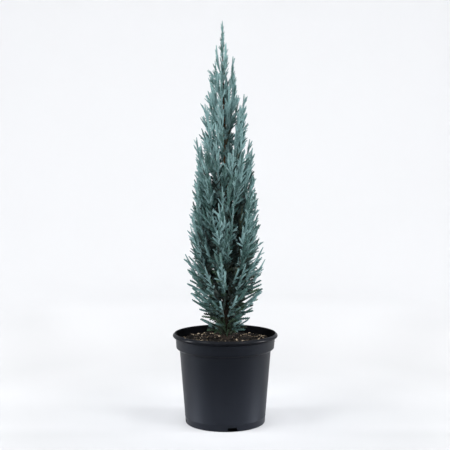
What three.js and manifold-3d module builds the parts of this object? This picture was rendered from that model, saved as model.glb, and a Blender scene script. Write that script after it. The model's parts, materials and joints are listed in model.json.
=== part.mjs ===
// A slim blue juniper in a round three-litre nursery pot: pot, soil, trunk, boughs and plumes of foliage.
// Millimetres, +Z up. The origin is on the floor under the centre of the pot, and the plant's front faces -Y.
import * as THREE from "three";
import { mergeVertices } from "three/addons/utils/BufferGeometryUtils.js";
import Module from "manifold-3d";

const wasm = await Module();
wasm.setup();

// Pot: a tapered body under a wider band, a rolled lip, and drain notches in a raised foot ring.
const pot = {
  sides: 40,
  wall: 1.8,
  height: 162,
  footRadius: 72,
  footRing: 6,
  floorBottom: 3,
  floorTop: 5.5,
  shoulderHeight: 131,
  shoulderRadius: 82.6,
  bandFoot: 135,
  bandFootRadius: 88.6,
  bandTop: 152.5,
  bandTopRadius: 89.7,
  lipHeight: 157,
  lipRadius: 95,
  lipCrownRadius: 91.5,
};
const drain = { count: 4, bearing: 10, width: 19, topWidth: 15, height: 7 };
const relief = { width: 36, height: 1.2 };

// Soil, which fills the pot to a shallow mound with a flat seat for the trunk.
const soil = { edge: 147, crown: 150, seatRadius: 16 };

// Trunk: a slim leader that leans a little to the left, with a root flare at the soil.
const trunk = {
  sides: 10,
  steps: 14,
  tip: 655,
  footRadius: 5.6,
  tipRadius: 0.9,
  flare: 4.2,
  flareHeight: 11,
  flareLobes: 5,
  lobeDepth: 0.3,
  taper: 0.85,
  offset: 2,
  lean: -6.5,
  wave: -1,
  depthWave: 1.3,
};
const leader = { height: 48, lean: -0.5 };

// Clearances between neighbouring solids, and of the sprays over the soil and the pot's rim.
const seatGap = 0.3;
const sprayGap = 0.6;
const potRoom = { overSoil: 4, overRim: 6, fromWall: 12 };

// Outline of the crown as [height, radius], from the lowest sprays to the top.
const crown = [
  [155, 36],
  [192, 46],
  [221, 58],
  [250, 68],
  [280, 74],
  [330, 72],
  [388, 67],
  [445, 61],
  [495, 54],
  [545, 46],
  [580, 39],
  [610, 32],
  [645, 23],
  [684, 11],
  [723, 3],
];

// Tiers of plumes, from the top down. foot and tip are the heights where a stem leaves the trunk and ends,
// reach is the tip's distance from the trunk, first is the bearing of the first plume in degrees from the
// front, bough is the woody share of the stem, and elbow says how far out and up the stem bends. The low ones
// stand out straighter.
const tiers = [
  { name: "crest", count: 3, foot: 628, tip: 664, reach: 7, first: 272, bough: 0 },
  { name: "spire", count: 3, foot: 574, tip: 636, reach: 13, first: 75, bough: 0 },
  { name: "upper", count: 4, foot: 508, tip: 594, reach: 19, first: 45, bough: 0 },
  { name: "second_leader", count: 1, foot: 424, tip: 578, reach: 30, first: 92, bough: 0.3 },
  { name: "shoulder", count: 4, foot: 424, tip: 540, reach: 32, first: 310, bough: 0 },
  { name: "high", count: 6, foot: 348, tip: 472, reach: 41, first: 80, bough: 0 },
  { name: "middle", count: 6, foot: 282, tip: 404, reach: 46, first: 355, bough: 0 },
  { name: "waist", count: 6, foot: 234, tip: 346, reach: 50, first: 347, bough: 0.26 },
  { name: "low", count: 6, foot: 203, tip: 268, reach: 51, first: 272, bough: 0, elbow: [0.58, 0.42] },
  { name: "skirt", count: 5, foot: 180, tip: 217, reach: 40, first: 69, bough: 0, elbow: [0.52, 0.48] },
  { name: "hem", count: 3, foot: 166, tip: 179, reach: 24, first: 300, bough: 0, elbow: [0.52, 0.48] },
];
const jitter = { seed: 11, bearing: 16, height: 14, reach: 0.1 };

// Stem of a plume and the core of close foliage round it, the twigs that it bears, each swelling into a spray
// that stands out of the core, the side spray on each twig, and the spray that ends the stem.
const stem = { elbow: [0.72, 0.28], footRadius: 2.4, tipRadius: 1.6, sides: 5, steps: 6 };
const core = { radius: 12.5, skew: 0.75, plumpness: 0.8, notch: 0.6, sizes: [1, 0.85, 0.7, 0.55, 0.4, 0.25] };
const twig = { spacing: 19, least: 3, first: 0.04, last: 0.95, radius: 0.8, footLength: 42, tipLength: 30 };
const spray = { radius: 5.2, widest: 0.6, sink: 1, sides: 3 };
const sideSpray = { root: 0.45, length: 0.7, widest: 0.45 };
const endSpray = { sink: 6, least: 12, more: 18 };
const fan = { turn: 110, fork: 38 };
const spreadAngle = { top: 24, bottom: 46 };
const plumeSize = { fullAt: 58, least: 0.42 };
const bough = { footRadius: 3.1, tipRadius: 2.4, sides: 5, steps: 3 };

const up = new THREE.Vector3(0, 0, 1);
const radians = THREE.MathUtils.degToRad;
const mix = THREE.MathUtils.lerp;

// Finishes
function finish(color, roughness) {
  return new THREE.MeshStandardMaterial({ color, roughness, metalness: 0 });
}
const blackPlastic = finish(0x2b2d34, 0.5);
const peat = finish(0x33251a, 0.95);
const bark = finish(0x5b3d2a, 0.9);
const foliage = [finish(0x6f9694, 0.75), finish(0x5f8784, 0.75), finish(0x527a70, 0.78)];

// Random numbers from 0 to 1 that are the same on every run.
function seeded(seed) {
  let state = seed * 7919;
  const next = () => {
    state = (state * 1664525 + 1013904223) % 4294967296;
    return state / 4294967296;
  };
  next();
  next();
  return next;
}

// Joining and cutting
function solidOf(geometry) {
  geometry.deleteAttribute("normal");
  geometry.deleteAttribute("uv");
  const merged = mergeVertices(geometry);
  const vertProperties = new Float32Array(merged.getAttribute("position").array);
  const triVerts = new Uint32Array(merged.index.array);
  return new wasm.Manifold(new wasm.Mesh({ numProp: 3, vertProperties, triVerts }));
}

function geometryOf(solid) {
  const mesh = solid.getMesh();
  const geometry = new THREE.BufferGeometry();
  geometry.setAttribute("position", new THREE.BufferAttribute(mesh.vertProperties, 3));
  geometry.setIndex(new THREE.BufferAttribute(mesh.triVerts, 1));
  geometry.computeVertexNormals();
  return geometry;
}

// Joins closed geometries into one body. A hollow that is sealed in is filled, and a loose scrap is dropped.
function fused(geometries) {
  const whole = geometries.map(solidOf).reduce((joined, piece) => joined.add(piece));
  const bodies = whole.decompose();
  return geometryOf(bodies.reduce((best, body) => (body.volume() > best.volume() ? body : best)));
}

function named(name, geometry, material) {
  const mesh = new THREE.Mesh(geometry, material);
  mesh.name = name;
  return mesh;
}

// Directions and limbs
function outward(bearing) {
  return new THREE.Vector3(Math.sin(radians(bearing)), -Math.cos(radians(bearing)), 0);
}

// A tapering limb: a cylinder whose rings are moved onto a centre line and set square to its tangent.
function limb(pointAt, tangentAt, acrossAt, radiusAt, sides, steps) {
  const geometry = new THREE.CylinderGeometry(1, 1, 1, sides, steps);
  const position = geometry.getAttribute("position");
  for (let i = 0; i < position.count; i++) {
    const share = position.getY(i) + 0.5;
    const across = acrossAt(share);
    const other = across.clone().cross(tangentAt(share));
    const angle = Math.atan2(position.getX(i), position.getZ(i));
    const radius = radiusAt(share, angle);
    const place = pointAt(share);
    place.addScaledVector(across, position.getX(i) * radius);
    place.addScaledVector(other, position.getZ(i) * radius);
    position.setXYZ(i, place.x, place.y, place.z);
  }
  return geometry;
}

// A spindle turned from a profile of [radius, share of its length], laid from one point to another.
function turned(profile, from, to) {
  const length = from.distanceTo(to);
  const points = profile.map(([radius, share]) => new THREE.Vector2(radius, share * length));
  const geometry = new THREE.LatheGeometry(points, spray.sides);
  const along = to.clone().sub(from).normalize();
  geometry.applyQuaternion(new THREE.Quaternion().setFromUnitVectors(new THREE.Vector3(0, 1, 0), along));
  return geometry.translate(from.x, from.y, from.z);
}

// Pot
function potProfile() {
  const inner = (radius) => radius - pot.wall;
  const lipDrop = pot.height - pot.lipHeight;
  return [
    [0, pot.floorBottom],
    [pot.footRadius - pot.footRing, pot.floorBottom],
    [pot.footRadius - pot.footRing, 0],
    [pot.footRadius, 0],
    [pot.shoulderRadius, pot.shoulderHeight],
    [pot.bandFootRadius, pot.bandFoot],
    [pot.bandTopRadius, pot.bandTop],
    [pot.lipRadius - 0.8, pot.bandTop + 1],
    [pot.lipRadius, pot.lipHeight],
    [pot.lipRadius - 0.8, pot.height - 0.35 * lipDrop],
    [pot.lipCrownRadius, pot.height],
    [inner(pot.bandTopRadius) + 0.6, pot.height - 0.3 * lipDrop],
    [inner(pot.bandTopRadius), pot.bandTop],
    [inner(pot.bandFootRadius), pot.bandFoot + pot.wall / 2],
    [inner(pot.shoulderRadius), pot.shoulderHeight + pot.wall / 2],
    [inner(pot.footRadius) + 0.4, pot.floorTop],
    [0, pot.floorTop],
  ];
}

function revolved(profile) {
  const points = profile.map(([radius, height]) => new THREE.Vector2(radius, height));
  return new THREE.LatheGeometry(points, pot.sides).rotateX(Math.PI / 2);
}

// A cutter through the foot ring, drawn across the wall and pushed through it.
function footCutter(bottomWidth, topWidth, height, bearing) {
  const below = -1;
  const outline = new THREE.Shape();
  outline.moveTo(-bottomWidth / 2, below);
  outline.lineTo(bottomWidth / 2, below);
  outline.lineTo(topWidth / 2, height);
  outline.lineTo(-topWidth / 2, height);
  outline.closePath();
  const depth = 2 * pot.footRing + 4;
  const cutter = new THREE.ExtrudeGeometry(outline, { depth, bevelEnabled: false, steps: 1 });
  cutter.rotateX(Math.PI / 2);
  cutter.translate(0, -(pot.footRadius - pot.footRing - 4), 0);
  return cutter.rotateZ(radians(bearing));
}

function makePot() {
  let solid = solidOf(revolved(potProfile()));
  for (let k = 0; k < drain.count; k++) {
    const bearing = drain.bearing + (360 * k) / drain.count;
    solid = solid.subtract(solidOf(footCutter(drain.width, drain.topWidth, drain.height, bearing)));
    solid = solid.subtract(solidOf(footCutter(relief.width, relief.width, relief.height, bearing)));
  }
  return named("pot", geometryOf(solid), blackPlastic);
}

// Soil
function makeSoil() {
  const inset = pot.wall + seatGap;
  const rise = (soil.edge - pot.bandFoot) / (pot.bandTop - pot.bandFoot);
  const edgeRadius = mix(pot.bandFootRadius, pot.bandTopRadius, rise) - inset;
  const profile = [
    [0, pot.floorTop + seatGap],
    [pot.footRadius - inset, pot.floorTop + seatGap],
    [pot.shoulderRadius - inset, pot.shoulderHeight + pot.wall],
    [pot.bandFootRadius - inset, pot.bandFoot + pot.wall],
    [edgeRadius, soil.edge],
    [(edgeRadius + soil.seatRadius) / 2, mix(soil.edge, soil.crown, 0.6)],
    [soil.seatRadius, soil.crown],
    [0, soil.crown],
  ];
  return named("soil", revolved(profile), peat);
}

// Trunk
const trunkFoot = soil.crown + seatGap;

function trunkAt(height) {
  const share = Math.min(1, (height - trunkFoot) / (trunk.tip - trunkFoot));
  const sway = Math.sin(2 * Math.PI * share);
  const aside = trunk.offset + trunk.lean * share + trunk.wave * sway;
  return new THREE.Vector3(aside, trunk.depthWave * sway, height);
}

function trunkRadius(height) {
  const share = Math.min(1, (height - trunkFoot) / (trunk.tip - trunkFoot));
  return mix(trunk.footRadius, trunk.tipRadius, share ** trunk.taper);
}

// What the root flare adds to the radius, and the radius with it on a given side.
function flareAt(height) {
  return trunk.flare * Math.exp((trunkFoot - height) / trunk.flareHeight);
}

function trunkSurface(height, bearing) {
  const lobes = 1 + trunk.lobeDepth * Math.cos(trunk.flareLobes * radians(bearing));
  return trunkRadius(height) + flareAt(height) * lobes;
}

// How far a flat side of the trunk lies inside its corners on a given side.
function facet(bearing) {
  const side = 360 / trunk.sides;
  const fromCorner = THREE.MathUtils.euclideanModulo(bearing, side);
  return Math.cos(radians(side / 2)) / Math.cos(radians(fromCorner - side / 2));
}

function makeTrunk() {
  const heightAt = (share) => mix(trunkFoot, trunk.tip, share ** 1.6);
  const radiusAt = (share, angle) => trunkSurface(heightAt(share), THREE.MathUtils.radToDeg(angle));
  const shape = limb(
    (share) => trunkAt(heightAt(share)),
    () => up,
    () => new THREE.Vector3(1, 0, 0),
    radiusAt,
    trunk.sides,
    trunk.steps,
  );
  return named("trunk", shape, bark);
}

// Plan of the plumes: where each stem runs, and what it bears.
function planPlumes() {
  const plans = [];
  for (const tier of tiers) {
    for (let k = 0; k < tier.count; k++) {
      plans.push(planPlume(tier, k, plans.length + 1));
    }
  }
  plans.push(planLeader(plans.length + 1));
  return plans;
}

function planPlume(tier, k, index) {
  const random = seeded(jitter.seed + index);
  const vary = (range) => range * (random() - 0.5);
  const several = tier.count > 1 ? 1 : 0;
  const bearing = tier.first + (360 * k) / tier.count + several * vary(jitter.bearing);
  const tallness = (tier.tip - tier.foot) / 100;
  const footHeight = tier.foot + several * tallness * vary(jitter.height);
  const tipHeight = tier.tip + several * tallness * vary(jitter.height);
  const reach = tier.reach * (1 + several * vary(jitter.reach));
  const out = outward(bearing);
  const [elbowOut, elbowUp] = tier.elbow ?? stem.elbow;
  const rise = (tipHeight - footHeight) * elbowUp;
  const tilt = rise / Math.hypot(rise, reach * elbowOut);
  const footRadius = tier.bough ? bough.footRadius : stem.footRadius;
  const underside = footHeight - footRadius * (1 - tilt);
  const clear = facet(bearing) * trunkSurface(underside, bearing) + seatGap + tilt * footRadius;
  const curve = new THREE.QuadraticBezierCurve3(
    trunkAt(footHeight).addScaledVector(out, clear),
    trunkAt(footHeight + rise).addScaledVector(out, clear + reach * elbowOut),
    trunkAt(tipHeight).addScaledVector(out, clear + reach),
  );
  const name = tier.count > 1 ? `${tier.name}_${k + 1}` : tier.name;
  const size = sizeAt(mix(footHeight, tipHeight, 0.5));
  return { name, curve, out, across: outward(bearing - 90), woody: tier.bough, size, twigs: [], random };
}

function planLeader(index) {
  const foot = trunkAt(trunk.tip + seatGap);
  const tip = foot.clone().add(new THREE.Vector3(leader.lean, 0, leader.height));
  const curve = new THREE.QuadraticBezierCurve3(foot, foot.clone().lerp(tip, 0.5), tip);
  const random = seeded(jitter.seed + index);
  const size = plumeSize.least;
  return { name: "leader", curve, out: outward(0), across: outward(90), woody: 0, size, twigs: [], random };
}

// Radius of the crown at a height, and how large the plumes there are beside the largest ones.
function crownRadius(height) {
  const above = crown.findIndex(([top]) => top > height);
  if (above < 1) return crown.at(above)[1];
  const [low, wide] = crown[above - 1];
  const [high, narrow] = crown[above];
  return mix(wide, narrow, (height - low) / (high - low));
}

function sizeAt(height) {
  return Math.min(1, Math.max(plumeSize.least, crownRadius(height) / plumeSize.fullAt));
}

// Twigs stand in a fan on the outer side of the stem, left and right in turn, and each bears a side spray.
function planTwigs(plan) {
  const { curve, random, size } = plan;
  const length = curve.getLength() * (1 - plan.woody);
  const count = Math.max(twig.least, Math.round(length / twig.spacing));
  for (let j = 0; j < count; j++) {
    const along = mix(twig.first, twig.last, (j + 0.5) / count);
    const root = curve.getPoint(mix(plan.woody, 1, along));
    const tangent = curve.getTangent(mix(plan.woody, 1, along));
    const low = 1 - Math.min(1, (root.z - soil.crown) / (trunk.tip - soil.crown));
    const spread = mix(spreadAngle.top, spreadAngle.bottom, low) * mix(0.8, 1.2, random());
    const turn = (j % 2 ? 1 : -1) * fan.turn * mix(0.15, 1, random());
    const wish = size * mix(twig.footLength, twig.tipLength, along) * mix(0.85, 1.15, random());
    const direction = leaning(tangent, plan.out, turn, spread);
    const sideTurn = turn + 180 * random();
    const sideways = leaning(direction, plan.out, sideTurn, fan.fork * mix(0.8, 1.2, random()));
    const reach = withinCrown(root, direction, wish);
    const fork = root.clone().addScaledVector(direction, reach * sideSpray.root);
    plan.twigs.push({
      from: root,
      to: root.clone().addScaledVector(direction, reach),
      side: spindle(fork, sideways, withinCrown(fork, sideways, reach * sideSpray.length)),
    });
  }
  const end = curve.getPoint(1);
  const tangent = curve.getTangent(1);
  const back = end.clone().addScaledVector(tangent, -endSpray.sink * size);
  plan.end = spindle(back, tangent, withinCrown(back, tangent, endSpray.least + endSpray.more * size));
}

// The longest part of a length, in tenths, whose tip stays inside the crown's outline.
function withinCrown(root, direction, length) {
  for (let tenths = 10; tenths > 4; tenths--) {
    const tip = root.clone().addScaledVector(direction, (length * tenths) / 10);
    const axis = trunkAt(tip.z);
    if (tip.distanceTo(axis) < crownRadius(tip.z)) return (length * tenths) / 10;
  }
  return length * 0.4;
}

// A direction that leans off an axis by an angle, turned about it from the side that faces outward.
function leaning(axis, out, turn, angle) {
  const face = out.clone().addScaledVector(axis, -out.dot(axis)).normalize();
  const side = face.applyAxisAngle(axis, radians(turn));
  const along = axis.clone().multiplyScalar(Math.cos(radians(angle)));
  return along.addScaledVector(side, Math.sin(radians(angle)));
}

function spindle(root, direction, length) {
  const from = root.clone().addScaledVector(direction, -spray.sink);
  return { from, to: root.clone().addScaledVector(direction, length) };
}

// Room: every accepted piece is a capsule, and a new one has to stay clear of the capsules of other nodes.
const room = [];

function capsule(owner, from, to, radius) {
  return { owner, line: new THREE.Line3(from, to), radius };
}

// A spindle's room: a thin capsule along all of it and a full one round its middle.
function spindleRoom(owner, { from, to }, radius) {
  const low = from.clone().lerp(to, 0.25);
  const high = from.clone().lerp(to, 0.8);
  return [capsule(owner, from, to, radius / 2), capsule(owner, low, high, radius)];
}

function isFree(candidate) {
  return room.every((other) => {
    const near = candidate.radius + other.radius + sprayGap;
    return other.owner === candidate.owner || candidate.line.distanceSqToLine3(other.line) > near * near;
  });
}

function clearOfPot(point) {
  const wide = Math.hypot(point.x, point.y);
  const inside = wide < pot.bandFootRadius - potRoom.fromWall;
  return point.z > (inside ? soil.crown + potRoom.overSoil : pot.height + potRoom.overRim);
}

// Capsules along a part of a curve, with a radius that changes along it.
function capsulesAlong(owner, curve, [from, to], radiusAt, steps) {
  return Array.from({ length: steps }, (_, i) => {
    const a = curve.getPoint(mix(from, to, i / steps));
    const b = curve.getPoint(mix(from, to, (i + 1) / steps));
    return capsule(owner, a, b, Math.max(radiusAt(i / steps), radiusAt((i + 1) / steps)));
  });
}

function claimTrunk() {
  for (let i = 0; i < trunk.steps; i++) {
    const low = mix(trunkFoot, trunk.tip, i / trunk.steps);
    const high = mix(trunkFoot, trunk.tip, (i + 1) / trunk.steps);
    const widest = trunkRadius(low) + flareAt(low) * (1 + trunk.lobeDepth);
    room.push(capsule("trunk", trunkAt(low), trunkAt(high), widest));
  }
}

// Stems and boughs are given room first, then each core as much as is left, then twigs and sprays in turn,
// one on each plume and then the next, so that no plume crowds out another.
function settle(plans) {
  claimTrunk();
  for (const { name, curve, woody } of plans) {
    room.push(...capsulesAlong(name, curve, [woody, 1], () => stem.footRadius, stem.steps));
  }
  for (const { name, curve, woody } of plans.filter((plan) => plan.woody)) {
    room.push(...capsulesAlong(`${name}_bough`, curve, [0, woody], () => bough.footRadius, bough.steps));
  }
  plans.forEach(settleCore);
  for (const plan of plans) {
    plan.endKept = settleSpray(plan, plan.end);
  }
  const most = Math.max(...plans.map((plan) => plan.twigs.length));
  for (let j = 0; j < most; j++) {
    for (const plan of plans.filter((each) => each.twigs[j])) {
      settleTwig(plan, plan.twigs[j]);
    }
  }
}

function settleCore(plan) {
  for (plan.fullness of core.sizes) {
    const radiusAt = (share) => coreRadius(plan, share);
    const body = capsulesAlong(plan.name, plan.curve, [plan.woody, 1], radiusAt, stem.steps).slice(1);
    if (body.every(isFree)) {
      room.push(...body);
      return;
    }
  }
}

// Radius of a plume's stem with its core, along its leafy part.
function coreRadius(plan, share) {
  const wood = mix(stem.footRadius, stem.tipRadius, share);
  const bell = Math.sin(Math.PI * share ** core.skew) ** core.plumpness;
  return wood + plan.fullness * plan.size * core.radius * bell;
}

function settleTwig(plan, piece) {
  piece.kept = settleSpray(plan, piece);
  piece.sideKept = piece.kept && settleSpray(plan, piece.side);
}

function settleSpray(plan, each) {
  const body = spindleRoom(plan.name, each, sprayRadius(plan));
  const kept = clearOfPot(each.to) && body.every(isFree);
  if (kept) room.push(...body);
  return kept;
}

// Solids of one plume
function sprayRadius(plan) {
  return spray.radius * Math.sqrt(plan.size);
}

function sprayShape(plan, { from, to }) {
  return turned([[0, 0], [sprayRadius(plan), sideSpray.widest], [0, 1]], from, to);
}

function twigShape(plan, { from, to }) {
  return turned([[0, 0], [twig.radius, 0], [sprayRadius(plan), spray.widest], [0, 1]], from, to);
}

function stemShape(plan) {
  const pace = plan.curve.getPoint(plan.woody).distanceTo(plan.curve.getPoint(plan.woody + 0.01)) / 0.01;
  const start = plan.woody ? plan.woody + seatGap / pace : 0;
  const at = (share) => mix(start, 1, share);
  const ring = (share) => Math.round(share * stem.steps);
  const turnAt = (share) => (ring(share) * Math.PI) / stem.sides;
  const notchAt = (share) => (ring(share) % 2 || share === 0 ? 1 : core.notch);
  return limb(
    (share) => plan.curve.getPoint(at(share)),
    (share) => plan.curve.getTangent(at(share)),
    (share) => plan.across.clone().applyAxisAngle(plan.curve.getTangent(at(share)), turnAt(share)),
    (share) => coreRadius(plan, share) * notchAt(share),
    stem.sides,
    stem.steps,
  );
}

function makePlume(plan, index) {
  const twigs = plan.twigs.filter((piece) => piece.kept);
  const shapes = [stemShape(plan)];
  for (const piece of twigs) {
    shapes.push(twigShape(plan, piece));
    if (piece.sideKept) shapes.push(sprayShape(plan, piece.side));
  }
  if (plan.endKept) shapes.push(sprayShape(plan, plan.end));
  return named(`plume_${plan.name}`, fused(shapes), foliage[index % foliage.length]);
}

function makeBough(plan) {
  const at = (share) => share * plan.woody;
  const shape = limb(
    (share) => plan.curve.getPoint(at(share)),
    (share) => plan.curve.getTangent(at(share)),
    () => plan.across,
    (share) => mix(bough.footRadius, bough.tipRadius, share),
    bough.sides,
    bough.steps,
  );
  return named(`bough_${plan.name}`, shape, bark);
}

// Assembly
const juniper = new THREE.Group();
juniper.name = "potted_juniper";
juniper.add(makePot(), makeSoil(), makeTrunk());
const plans = planPlumes();
plans.forEach(planTwigs);
settle(plans);
plans.forEach((plan, index) => juniper.add(makePlume(plan, index)));
plans.filter((plan) => plan.woody).forEach((plan) => juniper.add(makeBough(plan)));

export default juniper;
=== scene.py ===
import json
import math

import bmesh
import bpy
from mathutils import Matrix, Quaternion, Vector, noise

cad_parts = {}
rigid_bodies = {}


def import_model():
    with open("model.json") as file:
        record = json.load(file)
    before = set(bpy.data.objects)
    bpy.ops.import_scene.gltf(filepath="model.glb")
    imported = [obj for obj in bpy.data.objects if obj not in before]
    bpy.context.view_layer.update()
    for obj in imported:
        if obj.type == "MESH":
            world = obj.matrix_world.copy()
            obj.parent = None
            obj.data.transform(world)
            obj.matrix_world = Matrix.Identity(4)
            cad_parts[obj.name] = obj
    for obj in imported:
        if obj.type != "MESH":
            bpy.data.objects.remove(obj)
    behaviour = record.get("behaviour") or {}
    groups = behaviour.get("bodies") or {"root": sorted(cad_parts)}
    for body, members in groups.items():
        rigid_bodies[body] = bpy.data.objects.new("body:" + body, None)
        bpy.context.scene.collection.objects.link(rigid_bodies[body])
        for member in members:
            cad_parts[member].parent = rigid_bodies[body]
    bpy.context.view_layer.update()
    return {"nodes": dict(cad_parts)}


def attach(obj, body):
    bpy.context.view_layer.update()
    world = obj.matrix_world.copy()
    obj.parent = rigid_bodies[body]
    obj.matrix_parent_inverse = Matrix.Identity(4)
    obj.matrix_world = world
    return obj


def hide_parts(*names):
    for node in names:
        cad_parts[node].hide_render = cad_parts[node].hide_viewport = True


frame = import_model()

mm = 0.001
up = Vector((0, 0, 1))
plumeNodes = [name for name in frame["nodes"] if name.startswith("plume_")]
boughNodes = [name for name in frame["nodes"] if name.startswith("bough_")]


# a socket of a shader or geometry tree: sums and products of wires add Math nodes
class Wire:
    def __init__(self, tree, socket=None):
        self.tree = tree
        self.socket = socket

    def feed(self, socket, value):
        if isinstance(value, Wire):
            self.tree.links.new(value.socket, socket)
        else:
            socket.default_value = value

    def node(self, kind, settings=None, inputs=None, output=0):
        made = self.tree.nodes.new(kind)
        for name, value in (settings or {}).items():
            if name == "stops":
                self.setStops(made.color_ramp, value)
            else:
                setattr(made, name, value)
        for name, value in (inputs or {}).items():
            self.feed(self.pick(made.inputs, name), value)
        return Wire(self.tree, self.pick(made.outputs, output))

    def pick(self, sockets, name):
        if isinstance(name, int):
            return sockets[name]
        return next(each for each in sockets if each.name == name and not each.is_unavailable)

    def setStops(self, ramp, stops):
        while len(ramp.elements) < len(stops):
            ramp.elements.new(1)
        for element, (place, colour) in zip(ramp.elements, stops):
            element.position = place
            element.color = (*colour, 1)

    def out(self, name):
        return Wire(self.tree, self.pick(self.socket.node.outputs, name))

    def math(self, operation, first, second):
        return self.node("ShaderNodeMath", {"operation": operation}, {0: first, 1: second})

    def __add__(self, other):
        return self.math("ADD", self, other)

    def __radd__(self, other):
        return self.math("ADD", other, self)

    def __sub__(self, other):
        return self.math("SUBTRACT", self, other)

    def __rsub__(self, other):
        return self.math("SUBTRACT", other, self)

    def __mul__(self, other):
        return self.math("MULTIPLY", self, other)

    def __rmul__(self, other):
        return self.math("MULTIPLY", other, self)

    def __gt__(self, other):
        return self.math("GREATER_THAN", self, other)


# materials
def newFinish(name, roughness, specular=0.5):
    material = bpy.data.materials.new(name)
    material.use_nodes = True
    shader = material.node_tree.nodes["Principled BSDF"]
    shader.inputs["Roughness"].default_value = roughness
    shader.inputs["Specular IOR Level"].default_value = specular
    return material, shader, Wire(material.node_tree)


def stretched(start, scale):
    place = start.node("ShaderNodeTexCoord", output="Object")
    return start.node("ShaderNodeMapping", {}, {"Vector": place, "Scale": scale})


def speckle(start, vector, scale, detail=4, roughness=0.55):
    inputs = {"Vector": vector, "Scale": scale, "Detail": detail, "Roughness": roughness}
    return start.node("ShaderNodeTexNoise", {}, inputs, "Fac")


def ramp(start, value, stops):
    return start.node("ShaderNodeValToRGB", {"stops": stops}, {"Fac": value}, "Color")


def blendColour(start, share, first, second):
    inputs = {"Factor": share, "A": first, "B": second}
    return start.node("ShaderNodeMix", {"data_type": "RGBA"}, inputs, "Result")


def rising(start, value, low, high):
    inputs = {"Value": value, "From Min": low, "From Max": high, "To Min": 0.0, "To Max": 1.0}
    return start.node("ShaderNodeMapRange", {"interpolation_type": "SMOOTHSTEP"}, inputs, "Result")


def bump(start, shader, height, strength, distance):
    inputs = {"Strength": strength, "Distance": distance, "Height": height}
    start.feed(shader.inputs["Normal"], start.node("ShaderNodeBump", {}, inputs, "Normal"))


potLook = {"dark": (0.0020, 0.0024, 0.0037, 1), "pale": (0.0043, 0.0050, 0.0074, 1),
           "bounceAndDust": (0.0118, 0.0134, 0.0180, 1), "paintedShadeColour": (0.0010, 0.0011, 0.0014, 1), "grain": 900, "scuff": 28,
           "bounceAndDustTop": 0.13, "tint": (0.72, 0.82, 1.0, 1), "specular": 0.16, "lipFrom": 0.1535, "lipTo": 0.158,
           "lipCoat": 0.16, "lipGloss": 0.06, "lipSpecular": 0.03, "roughness": 0.5, "grainDetail": 2,
           "streaks": (1, 1, 0.22), "scuffDetail": 5, "scuffRough": 0.62, "bounceAndDustLeast": 0.55, "bounceAndDustMore": 0.6,
           "gloss": 0.33, "streakGloss": 0.14, "grainGloss": 0.05, "streakBump": 0.8, "bump": 0.35,
           "bumpDepth": 0.12, "paintedShadeRoughness": 0.9, "paintedShadeSpecular": 0.04}


def makePotPlastic(name, specular):
    material, shader, start = newFinish(name, potLook["roughness"], specular)
    shader.inputs["Specular Tint"].default_value = potLook["tint"]
    even = stretched(start, (1, 1, 1))
    grain = speckle(start, even, potLook["grain"], potLook["grainDetail"])
    streaks = stretched(start, potLook["streaks"])
    streak = speckle(start, streaks, potLook["scuff"], potLook["scuffDetail"], potLook["scuffRough"])
    height = start.node("ShaderNodeSeparateXYZ", {}, {"Vector": even}, "Z")
    # the lower wall turns paler towards the foot: painted light from the bright floor, mixed with streaky
    # dust
    low = rising(start, height, potLook["bounceAndDustTop"], 0.0)
    plain = blendColour(start, streak, potLook["dark"], potLook["pale"])
    bounceAndDustShare = low * (potLook["bounceAndDustLeast"] + potLook["bounceAndDustMore"] * streak)
    start.feed(shader.inputs["Base Color"], blendColour(start, bounceAndDustShare, plain, potLook["bounceAndDust"]))
    gloss = potLook["gloss"] + potLook["streakGloss"] * streak + potLook["grainGloss"] * grain
    start.feed(shader.inputs["Roughness"], gloss)
    lip = rising(start, height, potLook["lipFrom"], potLook["lipTo"])
    start.feed(shader.inputs["Coat Weight"], potLook["lipCoat"] * lip)
    shader.inputs["Coat Roughness"].default_value = potLook["lipGloss"]
    bump(start, shader, grain + potLook["streakBump"] * streak, potLook["bump"], potLook["bumpDepth"] * mm)
    return material


soilLook = {
    "stops": [(0.3, (0.0016, 0.0012, 0.0009)), (0.52, (0.0055, 0.0040, 0.0028)),
              (0.75, (0.022, 0.016, 0.011))],
    "lump": 260, "lumpDetail": 6, "lumpRough": 0.7, "lumpShare": 0.65,
    "fine": 1100, "fineDetail": 3, "fineShare": 0.35, "fineBump": 0.5,
    "roughness": 0.95, "specular": 0.2, "least": 0.86, "more": 0.14, "bump": 0.9, "bumpDepth": 1.2,
}


def makePeat():
    material, shader, start = newFinish("dampPeat", soilLook["roughness"], soilLook["specular"])
    even = stretched(start, (1, 1, 1))
    lumps = speckle(start, even, soilLook["lump"], soilLook["lumpDetail"], soilLook["lumpRough"])
    fine = speckle(start, even, soilLook["fine"], soilLook["fineDetail"])
    mottle = soilLook["lumpShare"] * lumps + soilLook["fineShare"] * fine
    start.feed(shader.inputs["Base Color"], ramp(start, mottle, soilLook["stops"]))
    start.feed(shader.inputs["Roughness"], soilLook["least"] + soilLook["more"] * fine)
    bump(start, shader, lumps + soilLook["fineBump"] * fine, soilLook["bump"], soilLook["bumpDepth"] * mm)
    return material


barkLook = {
    "stops": [(0.3, (0.005, 0.004, 0.003)), (0.5, (0.019, 0.012, 0.008)), (0.72, (0.066, 0.042, 0.026))],
    "youngStops": [(0.3, (0.030, 0.016, 0.007)), (0.5, (0.095, 0.052, 0.022)), (0.72, (0.210, 0.120, 0.052))],
    "young": (0.36, 0.48),
    "shaded": (0.53, 0.59),
    "strand": 420, "strands": (1, 1, 0.07), "strandDetail": 5, "strandRough": 0.65, "strandShare": 0.6,
    "flake": 90, "flakes": (1, 1, 0.3), "flakeShare": 0.4, "flakeBump": 0.6,
    "roughness": 0.9, "specular": 0.25, "least": 0.78, "more": 0.2, "bump": 0.8, "bumpDepth": 0.5,
}


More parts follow.
